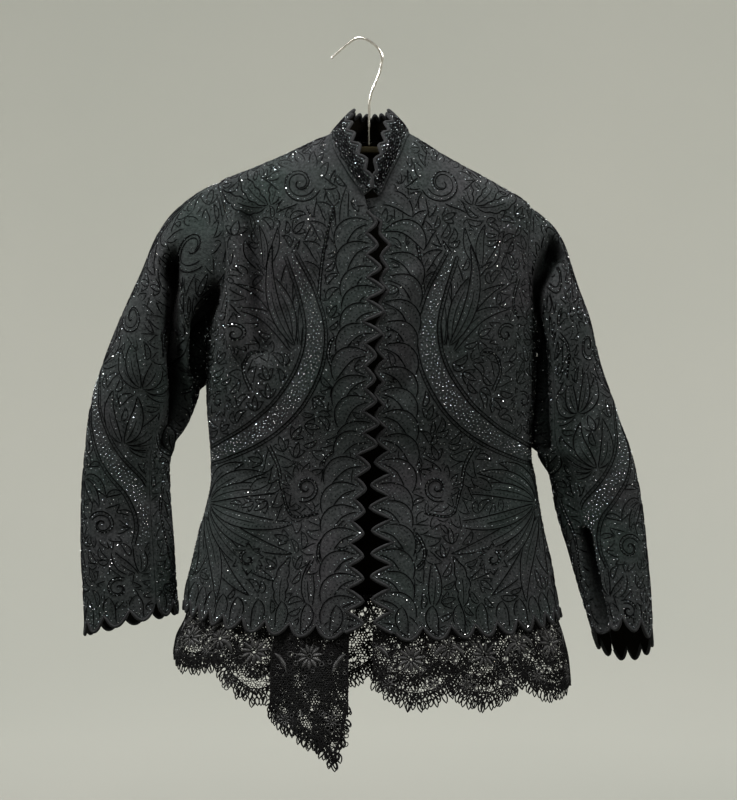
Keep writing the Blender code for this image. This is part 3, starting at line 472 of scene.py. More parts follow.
# Lace nets and their sizes
LaceNet = namedtuple("LaceNet", "name groups layers cell thread")
LACE_NETS = rows(
    LaceNet,
    ("lace_front_right", 2, 1, 1.85, 0.88), ("lace_tail_right", 1, 2, 1.85, 1.2),
    ("lace_front_left", 3, 1, 1.85, 0.85), ("lace_back", 6, 1, 2.2, 1.1))
LACE_SEED = 50
LAYER_GAP = 1.8
NET_TOP = 4.0
NET_FLATNESS = 0.4
NET_JITTER = 0.34
FINE_THREAD = 0.5
EYE_THREAD = 0.6
PETAL_HEIGHT = 1.1
FRINGE_DEPTH = 20.0
FRINGE_PITCH = 4.7
FRINGE_LEAN = 9.0
FRINGE_THREAD = 0.85
FringeRow = namedtuple("FringeRow", "below shortest longest shift")
FRINGE_ROWS = rows(FringeRow, (-4.0, 8.0, 12.0, 0.5), (1.0, 8.0, 12.0, 1.0), (7.0, 8.0, 14.0, 0.5))

# Flowers of the lace: how far they lie from the hem or the fringe, their radius and their petals
LaceFlower = namedtuple("LaceFlower", "away radius petals")
MIDDLE_FLOWER = LaceFlower(37, 17.0, 11)
BORDER_FLOWER = LaceFlower(27, 14.0, 10)
FOOT_FLOWER = LaceFlower(13, 8.5, 9)
FOOT_FLOWER_SHARE = 0.3

# Stage, in metres: a flat floor, a round sweep and a wall
FLOOR_Z = -1.75
FLOOR_MIDDLE = 0.0002
FLOOR_RADIUS = 4.6
SWEEP_RADIUS = 2.4
WALL_TOP = 3.2
STAGE_SIDES = 72
FLOOR_RINGS = 8
SWEEP_RINGS = 16

# Lights: places in metres, sizes in metres, power in watts
Light = namedtuple("Light", "name place target size power colour")
LIGHTS = rows(
    Light,
    ("key", (-2.7, -1.1, 1.8), (0, 0, -0.4), (0.8, 0.8), 225, (1.0, 0.99, 0.97)),
    ("second", (2.7, -1.3, 1.4), (0, 0, -0.4), (0.8, 0.8), 165, (1.0, 0.98, 0.95)),
    ("top", (-0.4, -0.5, 2.1), (0, 0, -0.3), (1.0, 0.7), 190, (1.0, 0.99, 0.97)),
    ("back_right", (2.4, 2.4, 1.4), (0, 0, -0.4), (1.0, 1.0), 85, (1.0, 0.99, 0.97)),
    ("back_left", (-2.4, 2.4, 1.4), (0, 0, -0.4), (1.0, 1.0), 85, (0.97, 0.99, 1.0)))
WALL_LIGHTS = {"back": (1.0, 2.6), "front": (-1.0, -2.6), "left": (-2.6, 1.0), "right": (2.6, -1.0)}
WALL_LIGHT_HEIGHT = 2.6
WALL_LIGHT_REACH = 2.6
WALL_LIGHT_AIM = -0.4
WALL_LIGHT_SIZE = (1.6, 1.0)
WALL_LIGHT_POWER = 10
WALL_LIGHT_COLOUR = (1.0, 1.0, 0.98)
WORLD_COLOUR = (0.98, 1.0, 0.98, 1)
WORLD_STRENGTH = 0.3

# Camera, at the photograph's viewing angle
CAMERA_PLACE = (0.0106, -3.0, -0.451)
CAMERA_LENS = 72.0
CAMERA_SENSOR = 24.0


# Smooth tables

def smooth(xs, ys, x):
    """Value at x of a smooth curve through (xs, ys) that never overshoots, straight past its ends."""
    xs = np.asarray(xs, float)
    ys = np.asarray(ys, float)
    x = np.asarray(x, float)
    steps = np.diff(xs)
    slopes = np.diff(ys) / steps
    tangents = np.empty_like(ys)
    tangents[0] = slopes[0]
    tangents[-1] = slopes[-1]
    before, after = slopes[:-1], slopes[1:]
    same_way = before * after > 0
    total = np.where(same_way, before + after, 1.0)
    tangents[1:-1] = np.where(same_way, 2 * before * after / total, 0.0)
    i = np.clip(np.searchsorted(xs, x) - 1, 0, len(xs) - 2)
    h = steps[i]
    t = (x - xs[i]) / h
    held = np.clip(t, 0, 1)
    past = (t - held) * h
    t = held
    value = (
        (1 + 2 * t) * (1 - t) ** 2 * ys[i]
        + t * (1 - t) ** 2 * h * tangents[i]
        + t * t * (3 - 2 * t) * ys[i + 1]
        + t * t * (t - 1) * h * tangents[i + 1]
    )
    end_slope = np.where(past < 0, tangents[0], tangents[-1])
    return value + past * end_slope


def column(table_rows, name):
    return [getattr(row, name) for row in table_rows]


def table(table_rows, key, name, at):
    return smooth(column(table_rows, key), column(table_rows, name), at)


def ease(t):
    t = np.clip(t, 0, 1)
    return t * t * (3 - 2 * t)


def unit(vectors):
    return vectors / np.maximum(np.linalg.norm(vectors, axis=-1, keepdims=True), 1e-12)


def run(start, end, step):
    """Evenly spaced values from start to end, at about that step."""
    return np.linspace(start, end, max(2, int(round(abs(end - start) / step)) + 1))


def travelled(points):
    """Length along a line of points, from its start."""
    return np.concatenate([[0], np.cumsum(np.linalg.norm(np.diff(points, axis=0), axis=1))])


def flat_points(x, y):
    return np.stack([x, y], axis=1)


def closed_line(there, back):
    """One closed outline, along the first line and back along the second."""
    return np.concatenate([there, back[::-1]])


# The body's surface, in turn (0 at centre front, + towards the wearer's left) and drop

def signed_power(value, power):
    return np.sign(value) * np.abs(value) ** power


def body_section(drop):
    return {name: table(BODY_SECTIONS, "drop", name, drop) for name in BodySection._fields[1:]}


def side_reach(section, way):
    """How far the body reaches from its centre to the side that way points to."""
    return np.where(way < 0, CENTRE_X - section["right_x"], section["left_x"] - CENTRE_X)


def body_base(turn, drop):
    section = body_section(drop)
    power = 2 / section["squareness"]
    across = signed_power(np.sin(turn), power)
    along = signed_power(np.cos(turn), power)
    reach = side_reach(section, across)
    depth = np.where(along > 0, section["front"], section["back"])
    return np.stack([CENTRE_X + reach * across, -depth * along, -np.asarray(drop, float)], axis=-1)


def body_normal(turn, drop):
    turn_step, drop_step = 0.02, 2.0
    round_way = body_base(turn + turn_step, drop) - body_base(turn - turn_step, drop)
    down_way = body_base(turn, drop + drop_step) - body_base(turn, drop - drop_step)
    return unit(np.cross(down_way, round_way))


def near_line(px, py, ax, ay, bx, by):
    """Distance from the points to a segment."""
    dx, dy = bx - ax, by - ay
    share = ((px - ax) * dx + (py - ay) * dy) / (dx * dx + dy * dy)
    held = np.clip(share, 0, 1)
    return np.hypot(px - ax - held * dx, py - ay - held * dy)


def near_route(px, py, places):
    """Distance from the points to a line of places."""
    return np.min([near_line(px, py, *a, *b) for a, b in zip(places, places[1:])], axis=0)


def unevenness(a, b):
    """Slow small waves that keep a large face from looking machined."""
    one_way = np.sin(a / 31 + 1.3 * np.sin(b / 47))
    other_way = np.sin(b / 37 + 1.1 * np.sin(a / 53 + 2))
    return UNEVEN_HEIGHT * (one_way + other_way)


def body_folds(points, turn, creased):
    height = np.zeros(len(points))
    facing_front = np.cos(turn) > 0
    edge_fade = ease(np.abs(np.cos(turn)) / FOLD_FADE)
    x, drop = points[:, 0], -points[:, 2]
    wander = 2.5 * np.sin(drop / 17) + 2.0 * np.sin(x / 13 + drop / 29)
    for fold in BODY_FOLDS + (BODY_CREASES if creased else []):
        shift = wander if fold in BODY_CREASES else 0
        apart = near_line(x + shift, drop, fold.start_x, fold.start_drop, fold.end_x, fold.end_drop)
        on_face = facing_front if fold.face == "front" else ~facing_front
        height += np.where(on_face, fold.height * np.exp(-((apart / fold.width) ** 2)) * edge_fade, 0)
    return height + (unevenness(x, drop) if creased else 0)


def body_surface(turn, drop, inset=0.0, creased=False):
    """Points of the cloth's outer face and their outward directions."""
    turn = np.asarray(turn, float)
    drop = np.asarray(drop, float)
    points = body_base(turn, drop)
    normals = body_normal(turn, drop)
    height = body_folds(points, turn, creased) - inset
    return points + normals * height[:, None], normals


def turn_at(x, drop):
    """Turn on the front at which the body's section reaches x."""
    section = body_section(drop)
    offset = np.asarray(x, float) - CENTRE_X
    share = np.clip(np.abs(offset) / side_reach(section, offset), 0, 1)
    return np.sign(offset) * np.arcsin(share ** (section["squareness"] / 2))


# Outlines

def tooth(share, roundness):
    """Height of a rounded point over its pitch, 0 at the notches and 1 at the tip."""
    return 1 - np.abs(2 * share - 1) ** roundness


def teeth_along(count, roundness, tip=0.5):
    """Positions along an edge of whole teeth, and the tooth's height there; tip is its place in the pitch."""
    place = np.arange(count * POINTS_PER_TOOTH + 1) / POINTS_PER_TOOTH
    part = place % 1.0
    along = np.where(part < 0.5, 2 * tip * part, tip + 2 * (1 - tip) * (part - 0.5))
    return (place - part + along) / count, tooth(part, roundness)


def front_edge(side):
    """The toothed front edge from the V down to the hem, as turn and drop."""
    points = FRONT_EDGES[side]
    share, height = teeth_along(FRONT_TEETH, POINTED, FRONT_TOOTH_TIP[side])
    drop = points[0].drop + share * (points[-1].drop - points[0].drop)
    depth = table(points, "drop", "depth", drop) * height
    x = table(points, "drop", "x", drop) - SIGNS[side] * depth
    return turn_at(x, drop), drop


def hem_drop(side, turn):
    return table(HEMS[side], "turn_deg", "drop", np.degrees(np.abs(turn)))


def armhole_curve(side, angles):
    """Turn and drop round the armhole: 0 at the shoulder tip, a quarter turn at the front."""
    hole = ARMHOLES[side]
    swing = np.sin(angles)
    width = np.where(swing > 0, hole.front_deg, hole.back_deg)
    turn = np.pi / 2 - np.radians(width) * swing
    drop = (hole.top + hole.bottom) / 2 - (hole.bottom - hole.top) / 2 * np.cos(angles)
    return turn, drop


def side_seam(drops, away):
    """Turn of a side or shoulder seam, kept half a gap from the other panel."""
    depth = table(BODY_SECTIONS, "drop", "front", drops)
    return np.pi / 2 + away * SEAM_GAP / depth


def neckline(side, along):
    turn = SIGNS[side] * np.radians(table(NECK_STATIONS, "along", "turn_deg", along))
    return turn, table(NECK_STATIONS, "along", "drop", along)


def panel_sides(side, swing, away):
    """Shoulder, armhole and flank of a front or a half back, as turn and drop."""
    shoulder = run(NECK_STATIONS[2].drop, ARMHOLES[side].top, EDGE_STEP)
    arm_turn, arm_drop = armhole_curve(side, np.linspace(0, swing, ARMHOLE_POINTS))
    flank = run(ARMHOLES[side].bottom, HEMS[side][2].drop, EDGE_STEP)
    return {
        "shoulder": (side_seam(shoulder, away), shoulder),
        "armhole": (arm_turn[1:-1], arm_drop[1:-1]),
        "flank": (side_seam(flank, away), flank),
    }


def front_edges(side):
    """The front's outline as named runs of (turn, drop)."""
    sign = SIGNS[side]
    edges = {name: (sign * turn, drop) for name, (turn, drop) in panel_sides(side, np.pi, -1).items()}
    share, height = teeth_along(HEM_TEETH["front"], TONGUED)
    edge_turn, edge_drop = front_edge(side)
    side_turn = sign * edges["flank"][0][-1]
    hem_turn = side_turn + share * (sign * edge_turn[-1] - side_turn)
    hem_line = hem_drop(side, hem_turn) + HEM_TOOTH_DEPTH * height
    neck_turn, neck_drop = neckline(side, run(FRONT_NECK_FROM, 1.0, NECK_STEP))
    edges["hem"] = (sign * hem_turn[1:-1], hem_line[1:-1])
    edges["edge"] = (edge_turn[::-1], edge_drop[::-1])
    edges["neck"] = (neck_turn[::-1][1:], neck_drop[::-1][1:])
    return edges


def back_half(side):
    """The back's neck, shoulder, armhole and flank on one side, as turn and drop."""
    neck_turn, neck_drop = neckline(side, run(0.0, BACK_NECK_TO, NECK_STEP))
    return {"neck": (np.abs(neck_turn), neck_drop), **panel_sides(side, -np.pi, 1)}


def back_edges():
    """Turn runs from the wearer's left side (90 degrees) through the back (180) to the right (270)."""
    left, right = back_half("left"), back_half("right")
    edges = {f"left {name}": line for name, line in left.items()}
    start, end = left["flank"][0][-1], 2 * np.pi - right["flank"][0][-1]
    share, height = teeth_along(HEM_TEETH["back"], TONGUED)
    hem_turn = start + share * (end - start)
    level = np.where(hem_turn < np.pi, hem_drop("left", hem_turn), hem_drop("right", 2 * np.pi - hem_turn))
    edges["hem"] = (hem_turn[1:-1], (level + HEM_TOOTH_DEPTH * height)[1:-1])
    for name in ("flank", "armhole", "shoulder", "neck"):
        turn, drop = right[name]
        edges[f"right {name}"] = (2 * np.pi - turn[::-1], drop[::-1])
    return edges


def joined(edges):
    """One closed outline from runs of points, without the points where they meet twice."""
    points = np.concatenate([np.stack(line, axis=1) for line in edges.values()])
    scaled = points * [TURN_SCALE, 1]
    apart = np.hypot(*(scaled - np.roll(scaled, 1, axis=0)).T)
    return points[apart > POINT_GAP]


# Triangulated shells

def inside(outline, points):
    """Which points lie inside a closed outline."""
    ax, ay = outline[:, 0], outline[:, 1]
    bx, by = np.roll(ax, -1), np.roll(ay, -1)
    level = np.where(by == ay, 1.0, by - ay)
    found = []
    for part in np.array_split(points, len(points) // POINTS_AT_ONCE + 1):
        x, y = part[:, 0], part[:, 1]
        crosses = (ay[None] > y[:, None]) != (by[None] > y[:, None])
        meet = ax[None] + (y[:, None] - ay[None]) / level[None] * (bx - ax)[None]
        found.append((crosses & (x[:, None] < meet)).sum(axis=1) % 2 == 1)
    return np.concatenate(found)


def grid_inside(outline, step):
    """Staggered grid of points inside the outline, clear of its edges."""
    low, high = outline.min(axis=0), outline.max(axis=0)
    points = []
    for i, y in enumerate(np.arange(low[1] + step / 2, high[1], step)):
        xs = np.arange(low[0] + step / 2 + (i % 2) * step / 2, high[0], step)
        points.append(flat_points(xs, np.full_like(xs, y)))
    points = np.concatenate(points)
    points = points[inside(outline, points)]
    clear = np.ones(len(points), bool)
    for a, b in zip(outline, np.roll(outline, -1, axis=0)):
        clear &= near_line(*points.T, *a, *b) > EDGE_CLEARANCE * step
    return points[clear]


def triangles_of(outline, points):
    """Flat triangulation of the outline through the given inner points."""
    flat = np.concatenate([outline, points])
    count = len(outline)
    edges = [(i, (i + 1) % count) for i in range(count)]
    result = delaunay_2d_cdt([tuple(p) for p in flat], edges, [], 1, 1e-4)
    flat = np.array([tuple(v) for v in result[0]])
    faces = np.array([f for f in result[2] if len(f) == 3])
    return flat, faces[inside(outline, flat[faces].mean(axis=1))]


def mesh_object(name, corners, loops, sizes, materials, kinds=None, uvs=None):
    """An object from corner points in millimetres and a list of polygons given as loop corners and sizes."""
    mesh = bpy.data.meshes.new(name)
    mesh.vertices.add(len(corners))
    mesh.vertices.foreach_set("co", (corners * MM).astype(np.float32).ravel())
    mesh.loops.add(len(loops))
    mesh.loops.foreach_set("vertex_index", loops.astype(np.int32))
    mesh.polygons.add(len(sizes))
    starts = np.concatenate([[0], np.cumsum(sizes)[:-1]])
    mesh.polygons.foreach_set("loop_start", starts.astype(np.int32))
    for made in materials:
        mesh.materials.append(made)
    if kinds is not None:
        mesh.polygons.foreach_set("material_index", kinds.astype(np.int32))
    if uvs is not None:
        layer = mesh.uv_layers.new(name="cloth")
        layer.data.foreach_set("uv", (uvs[loops] * MM).astype(np.float32).ravel())
    mesh.update(calc_edges=True)
    mesh.validate()
    mesh.shade_smooth()
    made = bpy.data.objects.new(name, mesh)
    bpy.context.scene.collection.objects.link(made)
    return made


def shell(name, flat, faces, surface, thickness, materials):
    """A closed thin shell: outer face, inner face and the rim between them."""
    points, normals = surface(flat)
    count = len(points)
    corners = np.concatenate([points, points - normals * thickness])
    a, b, c = points[faces[:, 0]], points[faces[:, 1]], points[faces[:, 2]]
    if np.einsum("ij,ij->i", np.cross(b - a, c - a), normals[faces[:, 0]]).sum() < 0:
        faces = faces[:, ::-1]
    sides = np.concatenate([faces[:, [0, 1]], faces[:, [1, 2]], faces[:, [2, 0]]])
    there = {tuple(side) for side in sides}
    rim = np.array([side for side in sides if (side[1], side[0]) not in there])
    walls = np.stack([rim[:, 1], rim[:, 0], rim[:, 0] + count, rim[:, 1] + count], axis=1)
    loops = np.concatenate([faces.ravel(), (faces[:, ::-1] + count).ravel(), walls.ravel()])
    sizes = np.concatenate([np.full(2 * len(faces), 3), np.full(len(walls), 4)])
    kinds = np.concatenate([np.zeros(len(faces)), np.ones(len(faces)), np.zeros(len(walls))])
    made = mesh_object(name, corners, loops, sizes, materials, kinds, np.concatenate([flat, flat]))
    made.data.set_sharp_from_angle(angle=math.radians(SHARP_DEG))
    return made


# Panels: a flat outline, the surface it lies on, and a chart in true cloth lengths to draw on

class BodyChart:
    """Cloth length round the body from a centre line, at each drop, and its inverse."""

    def __init__(self, centre_turn):
        self.turns = centre_turn + CHART_TURNS
        reach = []
        for drop in CHART_DROPS:
            length = travelled(body_base(self.turns, np.full_like(self.turns, drop)))
            reach.append(length - np.interp(centre_turn, self.turns, length))
        self.reach = np.array(reach)
        self.inverse = np.array([np.interp(CHART_PLACES, row, self.turns) for row in reach])

    @staticmethod
    def step_of(values, at):
        """The entry of an even row just before each value, and the share of the way to the next."""
        place = np.clip((at - values[0]) / (values[1] - values[0]), 0, len(values) - 1.001)
        before = place.astype(int)
        return before, place - before

    def between(self, values, columns, points):
        """Value between the four nearest entries of a table, at each point's column and drop."""
        i, u = self.step_of(CHART_DROPS, points[:, 1])
        j, v = self.step_of(columns, points[:, 0])
        low = values[i, j] * (1 - v) + values[i, j + 1] * v
        high = values[i + 1, j] * (1 - v) + values[i + 1, j + 1] * v
        return low * (1 - u) + high * u

    def from_turn(self, points):
        return flat_points(self.between(self.reach, self.turns, points), points[:, 1])

    def to_flat(self, points):
        turn = self.between(self.inverse, CHART_PLACES, points)
        return flat_points(turn * TURN_SCALE, points[:, 1])


Panel = namedtuple("Panel", "name outline surface to_flat chart_edges toothed plain step")


def unchanged(points):
    """Collar and sleeves are drawn on the same flat coordinates as their outline."""
    return points


def body_panel(name, edges, centre_turn, lifted=False):
    chart = BodyChart(centre_turn)

    def surface(points):
        turn, drop = points[:, 0] / TURN_SCALE, points[:, 1]
        outer, normals = body_surface(turn, drop, creased=True)
        if lifted:
            edge_x = table(FRONT_EDGES[LAPPING_SIDE], "drop", "x", drop)
            near_edge = 1 - ease((edge_x - outer[:, 0]) / FRONT_OVERLAP_REACH)
            outer = outer + normals * (FRONT_OVERLAP_LIFT * near_edge)[:, None]
        return outer, normals

    chart_edges = {key: chart.from_turn(np.stack(line, axis=1)) for key, line in edges.items()}
    toothed = [key for key in edges if key in ("hem", "edge")]
    plain = [key for key in edges if "neck" in key]
    outline = joined(edges) * [TURN_SCALE, 1]
    return Panel(name, outline, surface, chart.to_flat, chart_edges, toothed, plain, PANEL_STEP)


def collar_surface(along, height):
    """Points of the stand collar: along from -1 (right V) over 0 (back) to 1 (left V), height 0 to 1."""
    def raw(along, height):
        side = np.where(along < 0, -1.0, 1.0)
        station = np.abs(along)
        turn = side * np.radians(table(NECK_STATIONS, "along", "turn_deg", station))
        drop = table(NECK_STATIONS, "along", "drop", station)
        base, normals = body_surface(turn, drop)
        front = ease((station - COLLAR_LAP_FROM) / (1 - COLLAR_LAP_FROM))
        wrap = np.where(side < 0, FRONT_OVERLAP_LIFT * front, 0)
        reach_over = np.where(side < 0, 1 + COLLAR_LAP * front, 1.0)
        lean = table(NECK_STATIONS, "along", "lean_x", station) * side * reach_over
        rise = np.stack([
            lean,
            table(NECK_STATIONS, "along", "lean_y", station),
            table(NECK_STATIONS, "along", "rise", station)], axis=-1)
        way = unit(rise)
        bow = COLLAR_BOW * np.sin(np.pi * np.clip(height, 0, 1))
        foot = base + normals * wrap[:, None] + way * COLLAR_GAP
        return foot + rise * height[:, None] + normals * bow[:, None]

    along = np.asarray(along, float)
    height = np.asarray(height, float)
    points = raw(along, height)
    along_step, height_step = 0.004, 0.02
    along_way = raw(along + along_step, height) - raw(along - along_step, height)
    up_way = raw(along, height + height_step) - raw(along, height - height_step)
    return points, unit(np.cross(along_way, up_way))


def collar_panel():
    share, height = teeth_along(COLLAR_TEETH, POINTED)
    scale = np.array([COLLAR_LENGTH / 2, COLLAR_HEIGHT])
    foot_along = run(-COLLAR_END, COLLAR_END, COLLAR_FOOT_STEP)
    foot = flat_points(foot_along, np.zeros_like(foot_along)) * scale
    top_along = COLLAR_END - share * 2 * COLLAR_END
    top = flat_points(top_along, 1 - COLLAR_TOOTH_SHARE * (1 - height)) * scale

    def surface(points):
        """The collar's outer face, which is a wall away from the face that the solids start from."""
        inner, normals = collar_surface(*(points / scale).T)
        return inner - normals * CLOTH_WALL, -normals

    outline = np.concatenate([foot, top])
    edges = {"foot": foot, "top": top}
    return Panel("collar", outline, surface, unchanged, edges, ["top"], [], COLLAR_STEP)


class Sleeve:
    """A sleeve's surface, in turn round it (0 at the outer edge, + towards the front) and length."""

    def __init__(self, side):
        self.side = side
        self.sign = SIGNS[side]
        self.rows = SLEEVE_STATIONS[side]
        middle = np.array([
            [(row.outer_x + row.inner_x) / 2, (row.outer_drop + row.inner_drop) / 2] for row in self.rows])
        hole = ARMHOLES[side]
        shoulder = body_base(np.array([self.sign * np.pi / 2]), np.array([(hole.top + hole.bottom) / 2]))[0]
        first = np.hypot(middle[0, 0] - shoulder[0], middle[0, 1] + shoulder[2])
        self.lengths = first + travelled(middle)
        self.cuff_length = self.lengths[CUFF_STATION]

    def spot(self, station, degrees):
        """Place on the flat sleeve of a station number and a turn round it."""
        length = np.interp(station, np.arange(len(self.lengths)), self.lengths)
        return math.radians(degrees) * SLEEVE_ROUND, length

    def base(self, turn, length):
        value = {
            name: smooth(self.lengths, column(self.rows, name), length) for name in SleeveStation._fields}
        middle, half = [np.stack([
            (value["outer_x"] + way * value["inner_x"]) / 2,
            np.zeros_like(length),
            -(value["outer_drop"] + way * value["inner_drop"]) / 2], axis=-1) for way in (1, -1)]
        ring = middle + half * np.cos(turn)[:, None]
        ring[:, 1] -= value["half_depth"] * np.sin(turn)
        hole_turn, hole_drop = armhole_curve(self.side, turn)
        hole, _ = body_surface(self.sign * hole_turn, hole_drop)
        swell = length * CAP_SWELL * (1 + np.cos(turn))
        hole[:, 0] += self.sign * (ARMHOLE_GAP + swell)
        hole[:, 2] -= CAP_FALL[self.side] * swell
        share = ease(length / CAP_BLEND)[:, None]
        outward = unit(half) * (np.cos(turn) / np.linalg.norm(half, axis=1))[:, None]
        outward[:, 1] -= np.sin(turn) / value["half_depth"]
        return hole * (1 - share) + ring * share, unit(outward)

    def places(self, gorge):
        """The route of a deep fold, as places on the flat sleeve."""
        return [self.spot(station, degrees) for station, degrees in gorge.route]

    def folds(self, turn, length):
        height = np.zeros(len(turn))
        round_place = turn * SLEEVE_ROUND
        wander = 2.5 * np.sin(length / 15) + 2.0 * np.sin(round_place / 11)
        for fold in SLEEVE_FOLDS[self.side] + SLEEVE_CREASES[self.side]:
            shift = wander if fold in SLEEVE_CREASES[self.side] else 0
            start = self.spot(fold.start_station, fold.start_deg)
            end = self.spot(fold.end_station, fold.end_deg)
            apart = near_line(round_place + shift, length, *start, *end)
            height += fold.height * np.exp(-((apart / fold.width) ** 2))
        height += unevenness(SLEEVE_ROUND * np.cos(turn), length)
        height *= ease((length - FOLDS_FROM) / FOLDS_RISE)
        for gorge in SLEEVE_GORGES[self.side]:
            apart = near_route(round_place, length, self.places(gorge))
            depth = gorge.height * np.exp(-((apart / gorge.width) ** GORGE_SQUARENESS))
            height += depth * ease(length / GORGES_RISE)
        return height

    def surface(self, turn, length):
        points, outward = self.base(turn, length)
        turn_step, length_step = 0.03, 1.5
        round_way = self.base(turn + turn_step, length)[0] - self.base(turn - turn_step, length)[0]
        ahead = np.maximum(length - length_step, 0.0)
        down_way = self.base(turn, ahead + 2 * length_step)[0] - self.base(turn, ahead)[0]
        square = unit(np.cross(round_way, down_way)) * self.sign
        past_cap = ease((length - CAP_BLEND / 2) / CAP_BLEND)[:, None]
        normals = unit(outward * (1 - past_cap) + square * past_cap)
        return points + normals * self.folds(turn, length)[:, None], normals

    def cuff(self, turn):
        return self.cuff_length - CUFF_TILT[self.side] * np.sin(turn)


def sleeve_panel(sleeve, part):
    start_deg, end_deg = BACK_SEAM_DEG, FRONT_SEAM_DEG
    if part == "under":
        start_deg, end_deg = FRONT_SEAM_DEG, BACK_SEAM_DEG + 360
    half_gap = SEAM_GAP / 2 / SLEEVE_LEAST_RADIUS
    start, end = math.radians(start_deg) + half_gap, math.radians(end_deg) - half_gap
    share, height = teeth_along(CUFF_TEETH[part], TONGUED)
    cuff_turn = end + share * (start - end)
    cuff_length = sleeve.cuff(cuff_turn) + CUFF_TOOTH_DEPTH * height
    head_turn = run(start, end, SLEEVE_HEAD_STEP)
    down = run(0, sleeve.cuff(np.array([end]))[0], EDGE_STEP)[1:-1]
    up = run(sleeve.cuff(np.array([start]))[0], 0, EDGE_STEP)[1:-1]
    scale = np.array([SLEEVE_ROUND, 1.0])
    edges = {
        "head": flat_points(head_turn, np.zeros_like(head_turn)) * scale,
        "front seam": flat_points(np.full_like(down, end), down) * scale,
        "cuff": flat_points(cuff_turn, cuff_length)[1:-1] * scale,
        "back seam": flat_points(np.full_like(up, start), up) * scale,
    }

    def surface(points):
        return sleeve.surface(points[:, 0] / SLEEVE_ROUND, points[:, 1])

    name = f"sleeve_{part}_{sleeve.side}"
    outline = np.concatenate(list(edges.values()))
    return Panel(name, outline, surface, unchanged, edges, ["cuff"], [], SLEEVE_STEP)


# Flat lines

def spaced(line, step):
    """The same line with points about step apart."""
    lengths = travelled(line)
    at = np.linspace(0, lengths[-1], max(2, int(round(lengths[-1] / step)) + 1))
    return np.stack([np.interp(at, lengths, line[:, i]) for i in range(2)], axis=1)


def spline(points, step=CORD_STEP):
    """A soft curve through a few points."""
    points = np.asarray(points, float)
    ends = np.concatenate([[2 * points[0] - points[1]], points, [2 * points[-1] - points[-2]]])
    t = np.linspace(0, 1, 12, endpoint=False)[:, None]
    parts = []
    for a, b, c, d in zip(ends, ends[1:], ends[2:], ends[3:]):
        bent = (2 * a - 5 * b + 4 * c - d) * t ** 2 + (3 * b - a - 3 * c + d) * t ** 3
        parts.append(0.5 * (2 * b + (c - a) * t + bent))
    return spaced(np.concatenate(parts + [points[-1:]]), step)


def sideways(line):
    """Unit directions to the side of a line."""
    way = unit(np.gradient(line, axis=0))
    return flat_points(-way[:, 1], way[:, 0])


def direction(angle_deg):
    """Flat direction of an angle: 0 outwards, 90 up."""
    angle = math.radians(angle_deg)
    return np.array([math.cos(angle), -math.sin(angle)])


def circle(middle, radius, count):
    angle = np.linspace(0, 2 * np.pi, count)
    return np.asarray(middle) + radius * flat_points(np.cos(angle), np.sin(angle))


def spiral(middle, radius, turns, start_deg, hand, eye):
    """A volute from its outer end to its eye."""
    t = np.linspace(0, 1, int(40 * turns) + 2)
    angle = math.radians(start_deg) + hand * 2 * np.pi * turns * t
    size = radius * (1 - (1 - eye) * t ** 0.85)
    line = np.asarray(middle) + flat_points(size * np.cos(angle), -size * np.sin(angle))
    return spaced(line, SCROLL_STEP)


def flow_angle(x, drop):
    """The slowly turning direction, in degrees, that the filling leaves follow."""
    return 80 + 75 * math.sin(x / 29) + 60 * math.sin(drop / 41)


def leaf_shape(base, tip, width, bend, lobes):
    """The two edges and the spine of a leaf, with scalloped edges where it has lobes."""
    base, tip = np.asarray(base, float), np.asarray(tip, float)
    length = np.hypot(*(tip - base))
    t = np.linspace(0, 1, max(7, int(length / CORD_STEP) + 1))
    across = np.array([-(tip - base)[1], (tip - base)[0]]) / length
    spine = base + (tip - base) * t[:, None] + across * (bend * 4 * t * (1 - t))[:, None]
    half = width / 2 * np.sin(np.pi * t ** 0.8) ** 0.85
    if lobes:
        half = half * (0.72 + 0.28 * np.abs(np.sin(np.pi * (lobes + 0.5) * t)))
    half[0] = half[-1] = 0
    side = sideways(spine)
    return spine + side * half[:, None], spine - side * half[:, None], spine


NEAR_CELLS = np.arange(-int(NEAR / CELL), int(NEAR / CELL) + 1)
WINDOW = np.stack(np.meshgrid(NEAR_CELLS, NEAR_CELLS), axis=-1).reshape(-1, 2)


